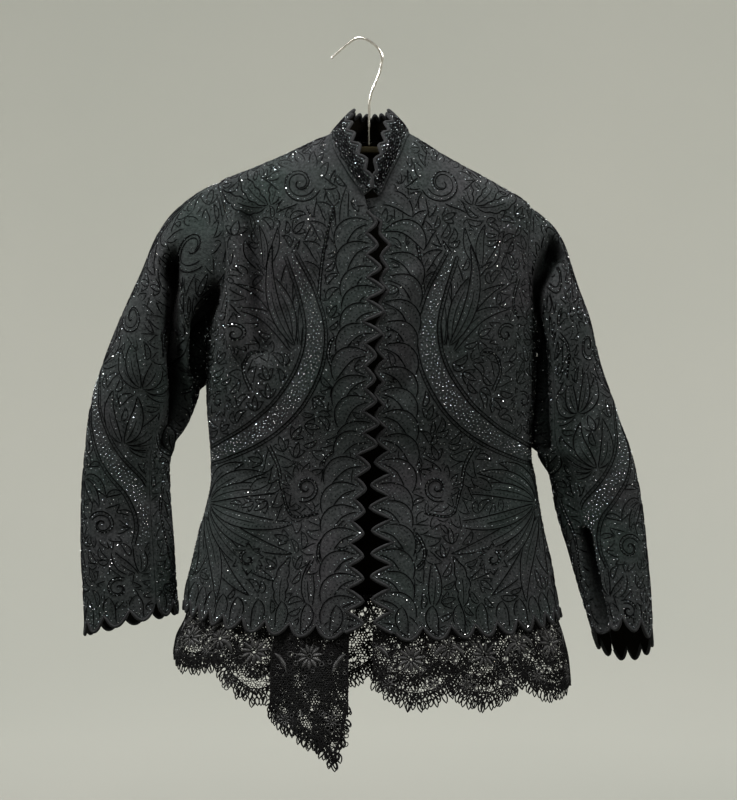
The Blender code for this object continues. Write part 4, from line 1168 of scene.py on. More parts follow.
class Drawing:
    """Cord lines, knots and beads on a flat chart, kept out of the places already taken."""

    def __init__(self, panel, seed):
        self.panel = panel
        self.lines = []
        self.knots = []
        self.beads = []
        self.stones = []
        self.leaves = 0
        self.random = np.random.default_rng(seed)
        outline = np.concatenate(list(panel.chart_edges.values()))
        self.low = outline.min(axis=0) - 2 * CELL
        self.size = np.ceil((outline.max(axis=0) + 2 * CELL - self.low) / CELL).astype(int)
        grid = np.meshgrid(*[np.arange(count) for count in self.size], indexing="ij")
        self.middles = self.low + (np.stack(grid, axis=-1).reshape(-1, 2) + 0.5) * CELL
        self.open = inside(outline, self.middles).reshape(self.size)
        self.stretch = self.measure_stretch()
        self.apart = np.full(self.size, NEAR)
        for name, line in panel.chart_edges.items():
            margin = NECK_MARGIN if name in panel.plain else SEAM_MARGIN
            if name in panel.toothed:
                margin = TEETH_MARGIN
            self.apart[:] = NEAR
            self.mark(spaced(line, CELL))
            self.open &= self.apart * self.stretch > margin
        self.apart[:] = NEAR
        self.cloth = self.open.copy()

    def measure_stretch(self):
        """How much longer the cloth is than its chart at each place, as on the sloping shoulders."""
        step = np.array([0.0, 2.0])
        ends = [self.panel.surface(self.panel.to_flat(self.middles + step * share))[0] for share in (-1, 1)]
        length = np.linalg.norm(ends[1] - ends[0], axis=1) / (2 * step[1])
        return np.clip(length, 1.0, STRETCH_MOST).reshape(self.size)

    def keep_clear(self, route, width):
        """Leaves the cloth plain along a route."""
        self.mark(spaced(np.array(route), CELL))
        clear = self.apart > width
        self.open &= clear
        self.cloth &= clear
        self.apart[:] = NEAR

    def cells_of(self, points):
        return np.floor((points - self.low) / CELL).astype(int)

    def is_open(self, points):
        cells = self.cells_of(points)
        within = ((cells >= 0) & (cells < self.size)).all(axis=1)
        cells = np.clip(cells, 0, self.size - 1)
        return within & self.open[cells[:, 0], cells[:, 1]]

    def mark(self, points):
        """Notes how near each place is to these points."""
        for part in np.array_split(points, len(points) // MARKS_AT_ONCE + 1):
            cells = (self.cells_of(part)[:, None] + WINDOW[None]).reshape(-1, 2)
            source = np.repeat(part, len(WINDOW), axis=0)
            within = ((cells >= 0) & (cells < self.size)).all(axis=1)
            cells, source = cells[within], source[within]
            apart = np.hypot(*(self.low + (cells + 0.5) * CELL - source).T)
            np.minimum.at(self.apart, (cells[:, 0], cells[:, 1]), apart)

    def add(self, line, weight=1.0):
        """Keeps the stretches of a line that lie in open places."""
        kept = np.concatenate([[False], self.is_open(line), [False]])
        starts = np.flatnonzero(~kept[:-1] & kept[1:])
        ends = np.flatnonzero(kept[:-1] & ~kept[1:])
        for start, end in zip(starts, ends):
            if end - start >= 3:
                self.lines.append((line[start:end], weight))
                self.mark(line[start:end])

    def dot(self, points, kind):
        points = np.asarray(points, float).reshape(-1, 2)
        points = points[self.is_open(points)]
        if len(points):
            kind.append(points)
            self.mark(points)

    def take(self, outline):
        """Closes the inside of a shape, so that what is drawn later passes behind it."""
        near = ((self.middles >= outline.min(axis=0)) & (self.middles <= outline.max(axis=0))).all(axis=1)
        spots = np.flatnonzero(near)
        spots = spots[inside(outline, self.middles[spots])]
        self.open.flat[spots] = False
        self.apart.flat[spots] = np.minimum(self.apart.flat[spots], TAKEN_NEAR)

    def leaf(self, base, tip, width, bend=0.0, lobes=0, rib=True):
        """An outlined leaf with a rib and rows of knots or beads inside."""
        left, right, spine = leaf_shape(base, tip, width, bend, lobes)
        weight = 1.0 if width > RIB_WIDTH else THIN_CORD
        self.add(left, weight)
        self.add(right, weight)
        kinds = (self.beads, self.knots) if self.leaves % 2 else (self.knots, self.beads)
        self.leaves += 1
        if width > RIB_WIDTH:
            if rib:
                self.add(spine[1:max(3, int(0.6 * len(spine)))], RIB_CORD)
            for edge, kind in zip((left, right), kinds):
                inner = 0.5 * spine + 0.5 * edge
                self.dot(spaced(inner[len(inner) // 4:-2], DOT_PITCH), kind)
        else:
            self.dot(spaced(spine[1:-1], DOT_PITCH), kinds[0])
        self.take(closed_line(left, right))

    def scroll(self, row, mirror):
        """A rolled-up double cord with beads, and leaves that spread round it."""
        middle = np.array([row.x * mirror, row.drop])
        start = row.start_deg if mirror > 0 else 180 - row.start_deg
        hand = row.hand * mirror
        for share, turns, eye, weight in SCROLL_CORDS:
            self.add(spiral(middle, row.radius * share, row.turns * turns, start, hand, eye), weight)
        between = spiral(middle, row.radius * 0.86, row.turns * 0.5, start, hand, 0.5)
        self.dot(spaced(between, SCROLL_BEAD_PITCH)[1:], self.beads)
        self.dot([middle], self.beads)
        self.take(circle(middle, row.radius, 25)[:-1])
        for k in range(5):
            at = start - hand * (30 + 34 * k)
            base = middle + direction(at) * (row.radius + 0.6)
            tip = middle + direction(at - hand * 26) * (row.radius * 1.62)
            self.leaf(base, tip, row.radius * 0.36, 2.0 * hand)
        for turn in range(0, 360, 60):
            base = middle + direction(start + turn) * row.radius * 0.8
            tip = middle + direction(start + turn + 48 * hand) * row.radius * 1.75
            self.leaf(base, tip, row.radius * 0.5, -row.radius * 0.2 * hand)

    def fan(self, row, mirror):
        """Leaves spread from one foot, drawn from the middle one outwards."""
        base = np.array([row.x * mirror, row.drop])
        order = sorted(range(row.leaves), key=lambda k: abs(k - (row.leaves - 1) / 2))
        for k in order:
            share = k / max(1, row.leaves - 1)
            angle = row.first_deg + share * (row.last_deg - row.first_deg)
            angle = angle if mirror > 0 else 180 - angle
            length = row.first_length + share * (row.last_length - row.first_length)
            length *= 1 + 0.12 * math.sin(math.pi * share)
            way = direction(angle)
            half = 1 if share < 0.5 else -1
            bend = row.bend * half * mirror * np.sign(row.last_deg - row.first_deg)
            self.leaf(base + way * length * 0.1, base + way * length, row.width, bend, row.lobes)

    def frond(self, row, mirror):
        """A stem with leaves along one side or both."""
        line = spline(np.array(row.points, float) * [mirror, 1])
        side = sideways(line)
        half = np.linspace(*STEM_HALF_WIDTHS, len(line))[:, None]
        left, right = line + side * half, line - side * half
        self.add(left)
        self.add(right)
        self.dot(spaced(line[1:-2], DOT_PITCH), self.beads)
        self.take(closed_line(left, right))
        ways = unit(np.gradient(line, axis=0))
        step = max(1, int(row.spacing / CORD_STEP))
        for i in range(2, len(line) - 1, step):
            for hand in ((1, -1) if row.sides == "both" else (mirror,)):
                here = min(len(line) - 1, i + (step // 2 if hand < 0 else 0))
                turn = math.radians(FROND_LEAF_DEG) * hand
                way = np.array([
                    ways[here, 0] * math.cos(turn) - ways[here, 1] * math.sin(turn),
                    ways[here, 0] * math.sin(turn) + ways[here, 1] * math.cos(turn)])
                size = row.leaf_length * (1 - 0.35 * here / len(line))
                base = line[here] + side[here] * hand * half[here]
                self.leaf(base, base + way * size, row.leaf_width, -0.2 * size * hand)

    def band(self, row, mirror):
        """A beaded crescent between double cords."""
        line = spline(np.array(row.points, float) * [mirror, 1], STONE_PITCH)
        places = np.linspace(0, len(row.widths) - 1, len(line))
        width = np.interp(places, np.arange(len(row.widths)), row.widths)
        side = sideways(line)
        for k, at in enumerate(line):
            count = max(1, int(width[k] / STONE_PITCH + 0.5))
            across = (np.arange(count) - (count - 1) / 2 + 0.25 * (-1) ** k) * width[k] / count
            spread = self.random.normal(0, STONE_JITTER, (count, 2)) * STONE_PITCH
            self.dot(at + side[k] * across[:, None] + spread, self.stones)

        def beside(away, hand):
            return line + side * (width / 2 + away)[:, None] * hand

        for away, weight in BAND_CORDS:
            for hand in (1, -1):
                self.add(spaced(beside(away, hand), CORD_STEP), weight)
        for hand in (1, -1):
            self.dot(spaced(beside(BAND_KNOTS, hand), BAND_KNOT_PITCH), self.knots)
        self.take(closed_line(beside(BAND_EDGE, 1), beside(BAND_EDGE, -1)))

    def edge_leaves(self, mirror):
        """A leaf that runs out into each tooth of the panel's toothed edges."""
        for name in self.panel.toothed:
            row = EDGE_LEAVES[name]
            first = POINTS_PER_TOOTH // 2 - (name != "edge")
            tips = inward(self.panel, name, TEETH_MARGIN)[first::POINTS_PER_TOOTH]
            inner = inward(self.panel, name, row.depth)[first::POINTS_PER_TOOTH]
            ways = unit(np.gradient(tips, axis=0))
            for tip, base, way in zip(tips, inner, ways):
                self.leaf(base + way * row.along, tip, row.width, row.bend * mirror, rib=False)

    def single(self, row, mirror):
        base, tip = (row.x * mirror, row.drop), (row.tip_x * mirror, row.tip_drop)
        self.leaf(base, tip, row.width, row.bend * mirror, row.lobes)

    def motifs(self, groups, mirror=1):
        """All motifs of a table; what comes first lies in front."""
        for draw, table_rows in (
                (self.band, groups.bands), (self.scroll, groups.scrolls), (self.frond, groups.fronds),
                (self.single, groups.leaves), (self.fan, groups.fans)):
            for row in table_rows:
                draw(row, mirror)

    def sprig(self, middle, room, angle, turn):
        """A pair of curved leaves or a spray of three, to fit the room there is."""
        base = middle - direction(angle) * room * 0.85
        if turn % 2:
            for swing, share in SPRAY:
                tip = base + direction(angle + swing) * room * share
                self.leaf(base, tip, room * 0.6, room * 0.004 * swing)
            return
        hand = 1 if turn % 4 else -1
        for swing, share in LEAF_PAIR:
            tip = base + direction(angle + swing * hand) * room * share
            self.leaf(base, tip, room * 0.62, -room * 0.4 * hand)

    def fill(self):
        """Small sprigs and leaves in the places left open, the widest first."""
        self.apart[~self.open] = 0
        for turn in range(FILL_LIMIT):
            spot = int(np.argmax(self.apart * self.stretch))
            room = self.apart.flat[spot]
            wide = room * self.stretch.flat[spot]
            if wide < FILL_LEAST:
                break
            middle = self.middles[spot]
            angle = flow_angle(*middle)
            if wide > FILL_SPRIG:
                self.sprig(middle, room, angle, turn)
            else:
                way = direction(angle) * room * 1.05
                self.leaf(middle - way, middle + way, room * 0.72, room * 0.35)
            self.mark(middle[None])

    def scatter(self, pitch, clear, kind):
        """Single dots spread over the cloth wherever no line or dot lies."""
        xs = np.arange(self.low[0], self.low[0] + self.size[0] * CELL, pitch)
        ys = np.arange(self.low[1], self.low[1] + self.size[1] * CELL, pitch * 0.87)
        points = np.stack(np.meshgrid(xs, ys), axis=-1)
        points[1::2, :, 0] += pitch / 2
        points = points.reshape(-1, 2)
        points = points + self.random.normal(0, 0.16 * pitch, points.shape)
        cells = np.clip(self.cells_of(points), 0, self.size - 1)
        free = self.cloth[cells[:, 0], cells[:, 1]] & (self.apart[cells[:, 0], cells[:, 1]] > clear)
        kind.append(points[free])
        self.mark(points[free])

    def finish(self):
        """Fills what is open and strews beads and knots over the rest."""
        self.fill()
        self.scatter(*BEADS_STREWN, self.beads)
        self.scatter(*KNOTS_STREWN, self.knots)


# Cords, beads and threads laid on a surface. Each builder gives corners, quads and their cloth places

def chained(lines):
    """All points of the lines, with each one's neighbours along its own line."""
    counts = np.array([len(line) for line in lines])
    points = np.concatenate(lines)
    ends = np.cumsum(counts) - 1
    starts = ends - counts + 1
    index = np.arange(len(points))
    before, after = index - 1, index + 1
    before[starts] = starts
    after[ends] = ends
    return points, before, after, np.delete(index, ends), starts, ends


def ring_quads(rings, links, closed):
    """Corners and outward quads between following rings of points."""
    count = rings.shape[1]
    corners = rings.reshape(-1, 3)
    quads = []
    for k in range(count if closed else count - 1):
        k_next = (k + 1) % count
        here, ahead = links * count, (links + 1) * count
        quads.append(np.stack([here + k, here + k_next, ahead + k_next, ahead + k], axis=1))
    quads = np.concatenate(quads)
    a, b, c = corners[quads[:, 0]], corners[quads[:, 1]], corners[quads[:, 2]]
    outward = a - rings.mean(axis=1)[quads[:, 0] // count]
    if np.einsum("ij,ij->i", np.cross(b - a, c - a), outward).sum() < 0:
        quads = quads[:, ::-1]
    lengths = np.linalg.norm(np.diff(rings[:, 0], axis=0, prepend=rings[:1, 0]), axis=1).cumsum()
    uvs = flat_points(np.repeat(lengths, count), np.tile(np.arange(count), len(rings)))
    return corners, quads, uvs


def quad_object(name, parts, finish):
    shifts = np.cumsum([0] + [len(part[0]) for part in parts[:-1]])
    corners = np.concatenate([part[0] for part in parts])
    quads = np.concatenate([part[1] + shift for part, shift in zip(parts, shifts)])
    uvs = np.concatenate([part[2] for part in parts])
    return mesh_object(name, corners, quads.ravel(), np.full(len(quads), 4), [finish], uvs=uvs)


def cords(lines, weights, place):
    """Half-round cords sewn down on the cloth, thin at their ends."""
    points, before, after, links, starts, ends = chained(lines)
    weight = np.repeat(weights, [len(line) for line in lines])
    weight[starts] *= CORD_END
    weight[ends] *= CORD_END
    at, normals = place(points)
    side = unit(np.cross(normals, unit(at[after] - at[before]))) * (CORD_HALF_WIDTH * weight)[:, None]
    top = normals * (CORD_HEIGHT * weight)[:, None]
    foot = normals * -CORD_FOOT
    rings = np.stack([at - side + foot, at + top, at + side + foot], axis=1)
    return ring_quads(rings, links, False)


def tubes(lines, place, radii, lift, sides, flatness=1.0):
    """Threads along flat lines, at a height above the surface; a low flatness presses them flat."""
    points, before, after, links, _, _ = chained(lines)
    at, normals = place(points)
    radius = np.repeat(radii, [len(line) for line in lines])[:, None]
    side = unit(np.cross(normals, unit(at[after] - at[before])))
    at = at + normals * lift
    angles = np.pi / 2 + np.arange(sides) / sides * 2 * np.pi
    ways = [side * math.cos(a) + normals * math.sin(a) * flatness for a in angles]
    rings = np.stack([at + way * radius for way in ways], axis=1)
    return ring_quads(rings, links, True)


def petals(pairs, place, height):
    """Ridged patches between pairs of edge lines that meet at both ends."""
    _, _, _, links, _, _ = chained([left for left, _ in pairs])
    left, left_up = place(np.concatenate([left for left, _ in pairs]))
    right, right_up = place(np.concatenate([right for _, right in pairs]))
    middle, up = (left + right) / 2, unit(left_up + right_up)
    rings = np.stack([left, middle + up * height, right, middle - up * height * 0.4], axis=1)
    return ring_quads(rings, links, True)


def studs(points, place, stud):
    """Small round beads or knots, each a little turned and tilted."""
    random = np.random.default_rng(stud.seed)
    at, normals = place(points)
    count = len(at)
    normals = unit(normals + random.normal(0, stud.tilt, (count, 3)))
    side = unit(np.cross(normals, random.normal(0, 1, (count, 3))))
    other = np.cross(normals, side)
    size = stud.radius * random.uniform(0.82, 1.15, count)[:, None]
    rings = []
    for height, share in ((-0.3, 1.0), (0.85, stud.top)):
        for across, along in ((1, 0), (0, 1), (-1, 0), (0, -1)):
            rings.append(at + (side * across + other * along) * size * share + normals * size * height)
    corners = np.stack(rings, axis=1).reshape(-1, 3)
    walls = [[k, (k + 1) % 4, 4 + (k + 1) % 4, 4 + k] for k in range(4)]
    quads = (np.arange(count)[:, None, None] * 8 + np.array(walls + [[4, 5, 6, 7]])).reshape(-1, 4)
    return corners, quads, np.zeros((len(corners), 2))


def facet(piece, every):
    """Gives every so many-th bead flat facets, so that a few flash while the others glow."""
    number = np.arange(len(piece.data.polygons)) // STUD_FACES
    piece.data.polygons.foreach_set("use_smooth", number % every != 0)
    return piece


# Lace

class Lace:
    """One stretch of the flounce: its reach round the body, its hem line and its scalloped foot."""

    def __init__(self, name):
        row = LACE_STRETCHES[name]
        self.row = row
        reach = travelled(body_base(LACE_TURNS, np.full_like(LACE_TURNS, LACE_SECTION_DROP)))
        self.reaches = reach - np.interp(0, LACE_TURNS, reach)
        self.side = "left" if name == "lace_front_left" else "right"
        self.is_back = name == "lace_back"
        self.start, self.end = row.start, row.end
        if self.is_back:
            self.start = np.interp(np.pi / 2, LACE_TURNS, self.reaches)
            self.end = np.interp(np.pi * 1.5, LACE_TURNS, self.reaches)
        elif row.end is None:
            self.end = np.interp(SIGNS[self.side] * np.pi / 2, LACE_TURNS, self.reaches)

    def hem(self, reach):
        turn = np.abs(np.interp(reach, self.reaches, LACE_TURNS))
        return hem_drop(self.side, np.minimum(turn, 2 * np.pi - turn))

    def scallop(self, reach):
        """Place within a scallop, 0 to 1."""
        share = np.clip((np.asarray(reach, float) - self.start) / (self.end - self.start), 0, 0.9999)
        return share * self.row.scallops % 1.0

    def edge(self, reach):
        reach = np.asarray(reach, float)
        place = reach - (self.start + self.end) / 2 if self.is_back else np.abs(reach)
        depth = self.row.scallop_depth * np.sin(np.pi * self.scallop(reach))
        return table(self.row.foot, "reach", "drop", place) + depth

    def place(self, points):
        turn = np.interp(points[:, 0], self.reaches, LACE_TURNS)
        hang = np.clip((points[:, 1] - LACE_FREE_DROP) / LACE_FREE_REACH, 0, 1.5)
        wave = hang * (self.row.stand_off + self.row.flare * np.sin(points[:, 0] / FLARE_LENGTH))
        return body_surface(turn, points[:, 1], self.row.inset + LACE_WALL / 2 - wave)


def lace_flower(middle, flower):
    """Spindle petals round an open eye."""
    pairs = []
    radius = flower.radius
    for k in range(flower.petals):
        way = direction(360 * k / flower.petals + 9)
        left, right, _ = leaf_shape(middle + way * radius * 0.22, middle + way * radius, radius * 0.33, 0, 0)
        pairs.append((left, right))
    return pairs


def gaps_round(x, drop, flower, random):
    """The flower's open eye, and small openings between its petal tips and the net."""
    gaps = [(x, drop, flower.radius * 0.17)]
    for k in range(flower.petals):
        way = direction(360 * k / flower.petals + random.uniform(-14, 14))
        away = way * (flower.radius + random.uniform(0.5, 3.0))
        gaps.append((x + away[0], drop + away[1], random.uniform(1.3, 3.4)))
    return gaps


def lace_motifs(lace, groups, random):
    """Flowers under the hem, leaves down into each scallop, and the gaps left open round them."""
    pairs, rings, gaps = [], [], []
    pitch = (lace.end - lace.start) / groups
    for i in range(groups):
        middle = lace.start + (i + 0.5) * pitch
        low, top = lace.edge(middle) - FRINGE_DEPTH, lace.hem(middle)
        spots = [(middle, top + MIDDLE_FLOWER.away, MIDDLE_FLOWER)]
        for share in (-FOOT_FLOWER_SHARE, FOOT_FLOWER_SHARE):
            spots.append((middle + share * pitch, low - FOOT_FLOWER.away, FOOT_FLOWER))
        if i:
            border = lace.start + i * pitch
            spots.append((border, lace.hem(border) + BORDER_FLOWER.away, BORDER_FLOWER))
        for x, drop, flower in spots:
            pairs += lace_flower(np.array([x, drop]), flower)
            rings.append(circle((x, drop), flower.radius * 0.19, 11))
            gaps += gaps_round(x, drop, flower, random)
        for hand in (-1, 1):
            base = (middle + hand * 0.47 * pitch, top + 0.26 * (low - top))
            tip = (middle + hand * 0.29 * pitch, top + 0.46 * (low - top))
            left, right, _ = leaf_shape(base, tip, 7.0, 3.0 * hand * np.sign(pitch), 2)
            pairs.append((left, right))
            for _ in range(11):
                share, down = random.uniform(0.02, 0.48), random.uniform(0.2, 0.95)
                x, drop = middle + hand * share * pitch, top + down * (low - top)
                gaps.append((x, drop, random.uniform(1.4, 3.6)))
    for x in run(lace.start, lace.end, 6.5)[1:-1]:
        place = x + random.normal(0, 1.5)
        gaps.append((place, lace.hem(x) + random.uniform(15, 25), random.uniform(1.2, 3.0)))
    rings += [circle((x, drop), radius, 9) for x, drop, radius in gaps if radius > 2.0]
    return pairs, rings, gaps


def thread_radius(lace, points, thread):
    """Thread size over the net: uneven, and fine in a fan at the foot of each scallop."""
    x, y = points.T
    patches = np.sin(x / 6.1 + 1.3 * np.sin(y / 9)) * np.sin(y / 7.3 + 1.1 * np.sin(x / 10))
    above_foot = lace.edge(x) - FRINGE_DEPTH - y
    fan = (np.abs(lace.scallop(x) - 0.5) < 0.15) & (above_foot < 15)
    under_hem = 1 + 0.3 * (1 - ease((y - lace.hem(x) - 14) / 16))
    return np.where(fan, FINE_THREAD, thread * under_hem * (1 + 0.34 * patches))


def lace_net(lace, pairs, gaps, cell, thread, random):
    """Uneven six-sided meshes between the motifs, as short threads."""
    low, high = sorted((lace.start, lace.end))
    xs = np.arange(low + 0.6, high - 0.4, cell * 0.866)
    across = np.linspace(low, high, 60)
    ys = np.arange(lace.hem(across).min() - NET_TOP, lace.edge(across).max() - FRINGE_DEPTH, cell * 1.5)
    i, j = np.meshgrid(np.arange(len(xs)), np.arange(len(ys)), indexing="ij")
    corners = np.stack([xs[i], ys[j] + 0.25 * cell * (-1.0) ** (i + j)], axis=-1)
    corners += random.normal(0, NET_JITTER * cell, corners.shape)
    upright = (i + j)[:, :-1] % 2 == 0
    threads = np.concatenate([
        np.stack([corners[:-1], corners[1:]], axis=2).reshape(-1, 2, 2),
        np.stack([corners[:, :-1], corners[:, 1:]], axis=2)[upright]])
    middles = threads.mean(axis=1)
    x, drop = middles.T
    keep = (drop > lace.hem(x) - NET_TOP) & (drop < lace.edge(x) - FRINGE_DEPTH + 1)
    for left, right in pairs:
        patch = closed_line(left, right)
        near = np.flatnonzero(((middles > patch.min(axis=0)) & (middles < patch.max(axis=0))).all(axis=1))
        keep[near[inside(patch, middles[near])]] = False
    for gap_x, gap_drop, radius in gaps:
        keep &= np.hypot(x - gap_x, drop - gap_drop) > radius
    uneven = random.uniform(0.6, 1.45, keep.sum())
    return list(threads[keep]), thread_radius(lace, middles[keep], thread) * uneven


def fringe_loop(middle, top, width, length, lean):
    """A hanging loop of thread, closed at its top and round at its foot."""
    down = np.linspace(0, 1, 7)
    half = width / 2 * np.abs(np.sin(np.pi * down ** 0.85)) ** 0.8
    left = flat_points(middle - half + lean * down, top + length * down)
    right = flat_points(middle + half + lean * down, top + length * down)
    return np.concatenate([left, right[-2::-1]])


def lace_fringe(lace, random):
    """Rows of loops that spread out of each scallop, the cords they hang from and the side edges."""
    count = int(abs(lace.end - lace.start) / FRINGE_PITCH)
    pitch = (lace.end - lace.start) / count
    lines = []
    for row in FRINGE_ROWS:
        for k in range(count - int(row.shift)):
            middle = lace.start + (k + row.shift) * pitch + random.normal(0, 0.9)
            lean = (lace.scallop(middle) - 0.5) * FRINGE_LEAN * np.sign(pitch) + random.normal(0, 1.6)
            width = FRINGE_PITCH * random.uniform(1.0, 1.35)
            top = lace.edge(middle) - FRINGE_DEPTH + row.below
            length = random.uniform(row.shortest, row.longest)
            lines.append(fringe_loop(middle, top, width, length, lean))
    x = run(lace.start, lace.end, 2.5)
    for above in (FRINGE_DEPTH, FRINGE_DEPTH + 3.4):
        lines.append(flat_points(x, lace.edge(x) - above + 0.7 * np.sin(x * 1.9 + above)))
    for end, way in ((lace.start, 0.6), (lace.end, -0.6)):
        down = run(lace.hem(end) - NET_TOP, lace.edge(end) - 6, 3)
        lines.append(flat_points(np.full_like(down, end + np.sign(pitch) * way), down))
    return lines


def build_lace(name, groups, layers, cell, thread, finishes):
    """One stretch of lace: its net, its fringe and its raised flowers, in one layer or two."""
    lace = Lace(name)
    random = np.random.default_rng(LACE_SEED + groups)
    threads, loops, raised = [], [], []
    for layer in range(layers):
        def place(points, inset=LAYER_GAP * layer):
            at, normals = lace.place(points)
            return at - normals * inset, normals

        pairs, rings, gaps = lace_motifs(lace, groups + layer, random)
        net, radii = lace_net(lace, pairs, gaps, cell, thread, random)
        fringe = lace_fringe(lace, random)
        threads.append(tubes(net, place, radii, 0.0, 3, NET_FLATNESS))
        loops.append(tubes(fringe, place, np.full(len(fringe), FRINGE_THREAD), 0.0, 4))
        raised.append(petals(pairs, place, PETAL_HEIGHT))
        raised.append(tubes(rings, place, np.full(len(rings), EYE_THREAD), 0.1, 4))
    piece = quad_object(name + "_threads", threads, finishes["lace"])
    trims = [
        quad_object(name + "_fringe", loops, finishes["lace"]),
        quad_object(name + "_flowers", raised, finishes["petal"])]
    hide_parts(name)
    for made in [piece] + trims:
        settle(made)
    across = np.linspace(lace.start, lace.end, 80)
    length = (lace.edge(across).max() - lace.hem(across).min() + LACE_TOP_ABOVE_HEM) * MM


# Materials

def principled(name, colour, roughness, **sockets):
    made = bpy.data.materials.new(name)
    made.use_nodes = True
    shader = made.node_tree.nodes["Principled BSDF"]
    shader.inputs["Base Color"].default_value = (*colour, 1)
    shader.inputs["Roughness"].default_value = roughness
    for socket, value in sockets.items():
        shader.inputs[socket.replace("_", " ")].default_value = value
    return made, made.node_tree, shader


def coordinates_of(tree, kind):
    return tree.nodes.new("ShaderNodeTexCoord").outputs[kind]


def add_noise(tree, coordinates, scale, detail):
    noise = tree.nodes.new("ShaderNodeTexNoise")
    noise.inputs["Scale"].default_value = scale
    noise.inputs["Detail"].default_value = detail
    tree.links.new(coordinates, noise.inputs["Vector"])
    return noise.outputs["Fac"]


def paint(tree, shader, colour):
    tree.links.new(colour, shader.inputs["Base Color"])


def grey(value):
    return (value, value, value)


def add_ramp(tree, value, low, high, low_at=0.3, high_at=0.7):
    ramp = tree.nodes.new("ShaderNodeValToRGB")
    for element, position, colour in zip(ramp.color_ramp.elements, (low_at, high_at), (low, high)):
        element.position = position
        element.color = (*colour, 1)
    tree.links.new(value, ramp.inputs["Fac"])
    return ramp.outputs["Color"]


def add_wave(tree, coordinates, scale, bands):
    wave = tree.nodes.new("ShaderNodeTexWave")
    wave.bands_direction = bands
    wave.inputs["Scale"].default_value = scale
    wave.inputs["Distortion"].default_value = 1.2
    tree.links.new(coordinates, wave.inputs["Vector"])
    return wave.outputs["Fac"]


def add_bump(tree, shader, value, strength, distance, before=None):
    bump = tree.nodes.new("ShaderNodeBump")
    bump.inputs["Strength"].default_value = strength
    bump.inputs["Distance"].default_value = distance
    tree.links.new(value, bump.inputs["Height"])
    if before is not None:
        tree.links.new(before, bump.inputs["Normal"])
    tree.links.new(bump.outputs["Normal"], shader.inputs["Normal"])
    return bump.outputs["Normal"]


def add_product(tree, first, second):
    mix = tree.nodes.new("ShaderNodeMix")
    mix.data_type = "RGBA"
    mix.blend_type = "MULTIPLY"
    mix.inputs["Factor"].default_value = 1.0
    tree.links.new(first, mix.inputs["A"])
    tree.links.new(second, mix.inputs["B"])
    return mix.outputs["Result"]


def add_range(tree, value, low, high, socket):
    spread = tree.nodes.new("ShaderNodeMapRange")
    spread.inputs["To Min"].default_value = low
    spread.inputs["To Max"].default_value = high
    tree.links.new(value, spread.inputs["Value"])
    tree.links.new(spread.outputs["Result"], socket)


def wool_material():
    made, tree, shader = principled(
        "wool", (0.0095, 0.0108, 0.0104), 0.9,
        Sheen_Weight=0.012, Sheen_Roughness=0.5, Specular_IOR_Level=0.0)
    place = coordinates_of(tree, "Object")
    weave = coordinates_of(tree, "UV")
    tint = add_ramp(tree, add_noise(tree, place, 11, 3), (0.0083, 0.0106, 0.01), (0.0116, 0.0115, 0.0123))
    nap = add_ramp(tree, add_noise(tree, place, 330, 5), grey(0.68), grey(1.32), 0.36, 0.64)
    # Painted shade and light: the wool's colour goes black where nearby cloth hides it, in folds, creases and
    # hollows, and up to 1.4 times brighter where it is open
    painted_shade_probe = tree.nodes.new("ShaderNodeAmbientOcclusion")
    painted_shade_probe.samples = 6
    painted_shade_probe.inputs["Distance"].default_value = PAINTED_SHADE_REACH
    shade = add_ramp(tree, painted_shade_probe.outputs["AO"], grey(0.0), grey(1.4), 0.3, 0.92)
    paint(tree, shader, add_product(tree, add_product(tree, tint, nap), shade))
    threads = add_bump(tree, shader, add_wave(tree, weave, 360, "DIAGONAL"), 0.35, 0.0002)
    add_bump(tree, shader, add_noise(tree, place, 700, 3), 0.4, 0.0003, threads)
    return made


def lining_material():
    made, tree, shader = principled("lining", (0.0035, 0.0032, 0.0024), 0.7, Specular_IOR_Level=0.0)
    place = coordinates_of(tree, "Object")
    tint = add_ramp(tree, add_noise(tree, place, 25, 3), (0.0026, 0.0024, 0.0018), (0.0044, 0.004, 0.003))
    paint(tree, shader, tint)
    add_bump(tree, shader, add_wave(tree, coordinates_of(tree, "UV"), 420, "X"), 0.2, 0.0002)
    return made


def cord_material(name, low, high, roughness, gloss):
    made, tree, shader = principled(name, high, roughness, Specular_IOR_Level=gloss)
    tint = add_ramp(tree, add_noise(tree, coordinates_of(tree, "Object"), 160, 3), low, high)
    paint(tree, shader, tint)
    add_bump(tree, shader, add_wave(tree, coordinates_of(tree, "UV"), 260, "DIAGONAL"), 0.5, 0.0004)
    return made


def bead_material(name, pale, pale_from, pale_to):
    """Cut glass, black in most beads and pale in the others."""
    made, tree, shader = principled(name, (0.004, 0.004, 0.005), 0.15, IOR=2.4)
    place = coordinates_of(tree, "Object")
    add_range(tree, add_noise(tree, place, 300, 2), 0.06, 0.24, shader.inputs["Roughness"])
    tint = add_ramp(tree, add_noise(tree, place, 90, 2), (0.78, 0.92, 1.0), (1.0, 0.98, 0.95))
    tree.links.new(tint, shader.inputs["Specular Tint"])
    colour = add_ramp(tree, add_noise(tree, place, 420, 1), (0.004, 0.004, 0.005), pale, pale_from, pale_to)
    paint(tree, shader, colour)
    return made


def metal_material():
    made, tree, shader = principled("hook_metal", (0.6, 0.56, 0.5), 0.25, Metallic=1.0)
    noise = add_noise(tree, coordinates_of(tree, "Object"), 240, 4)
    paint(tree, shader, add_ramp(tree, noise, (0.46, 0.43, 0.38), (0.66, 0.63, 0.57)))
    add_range(tree, noise, 0.16, 0.34, shader.inputs["Roughness"])
    return made


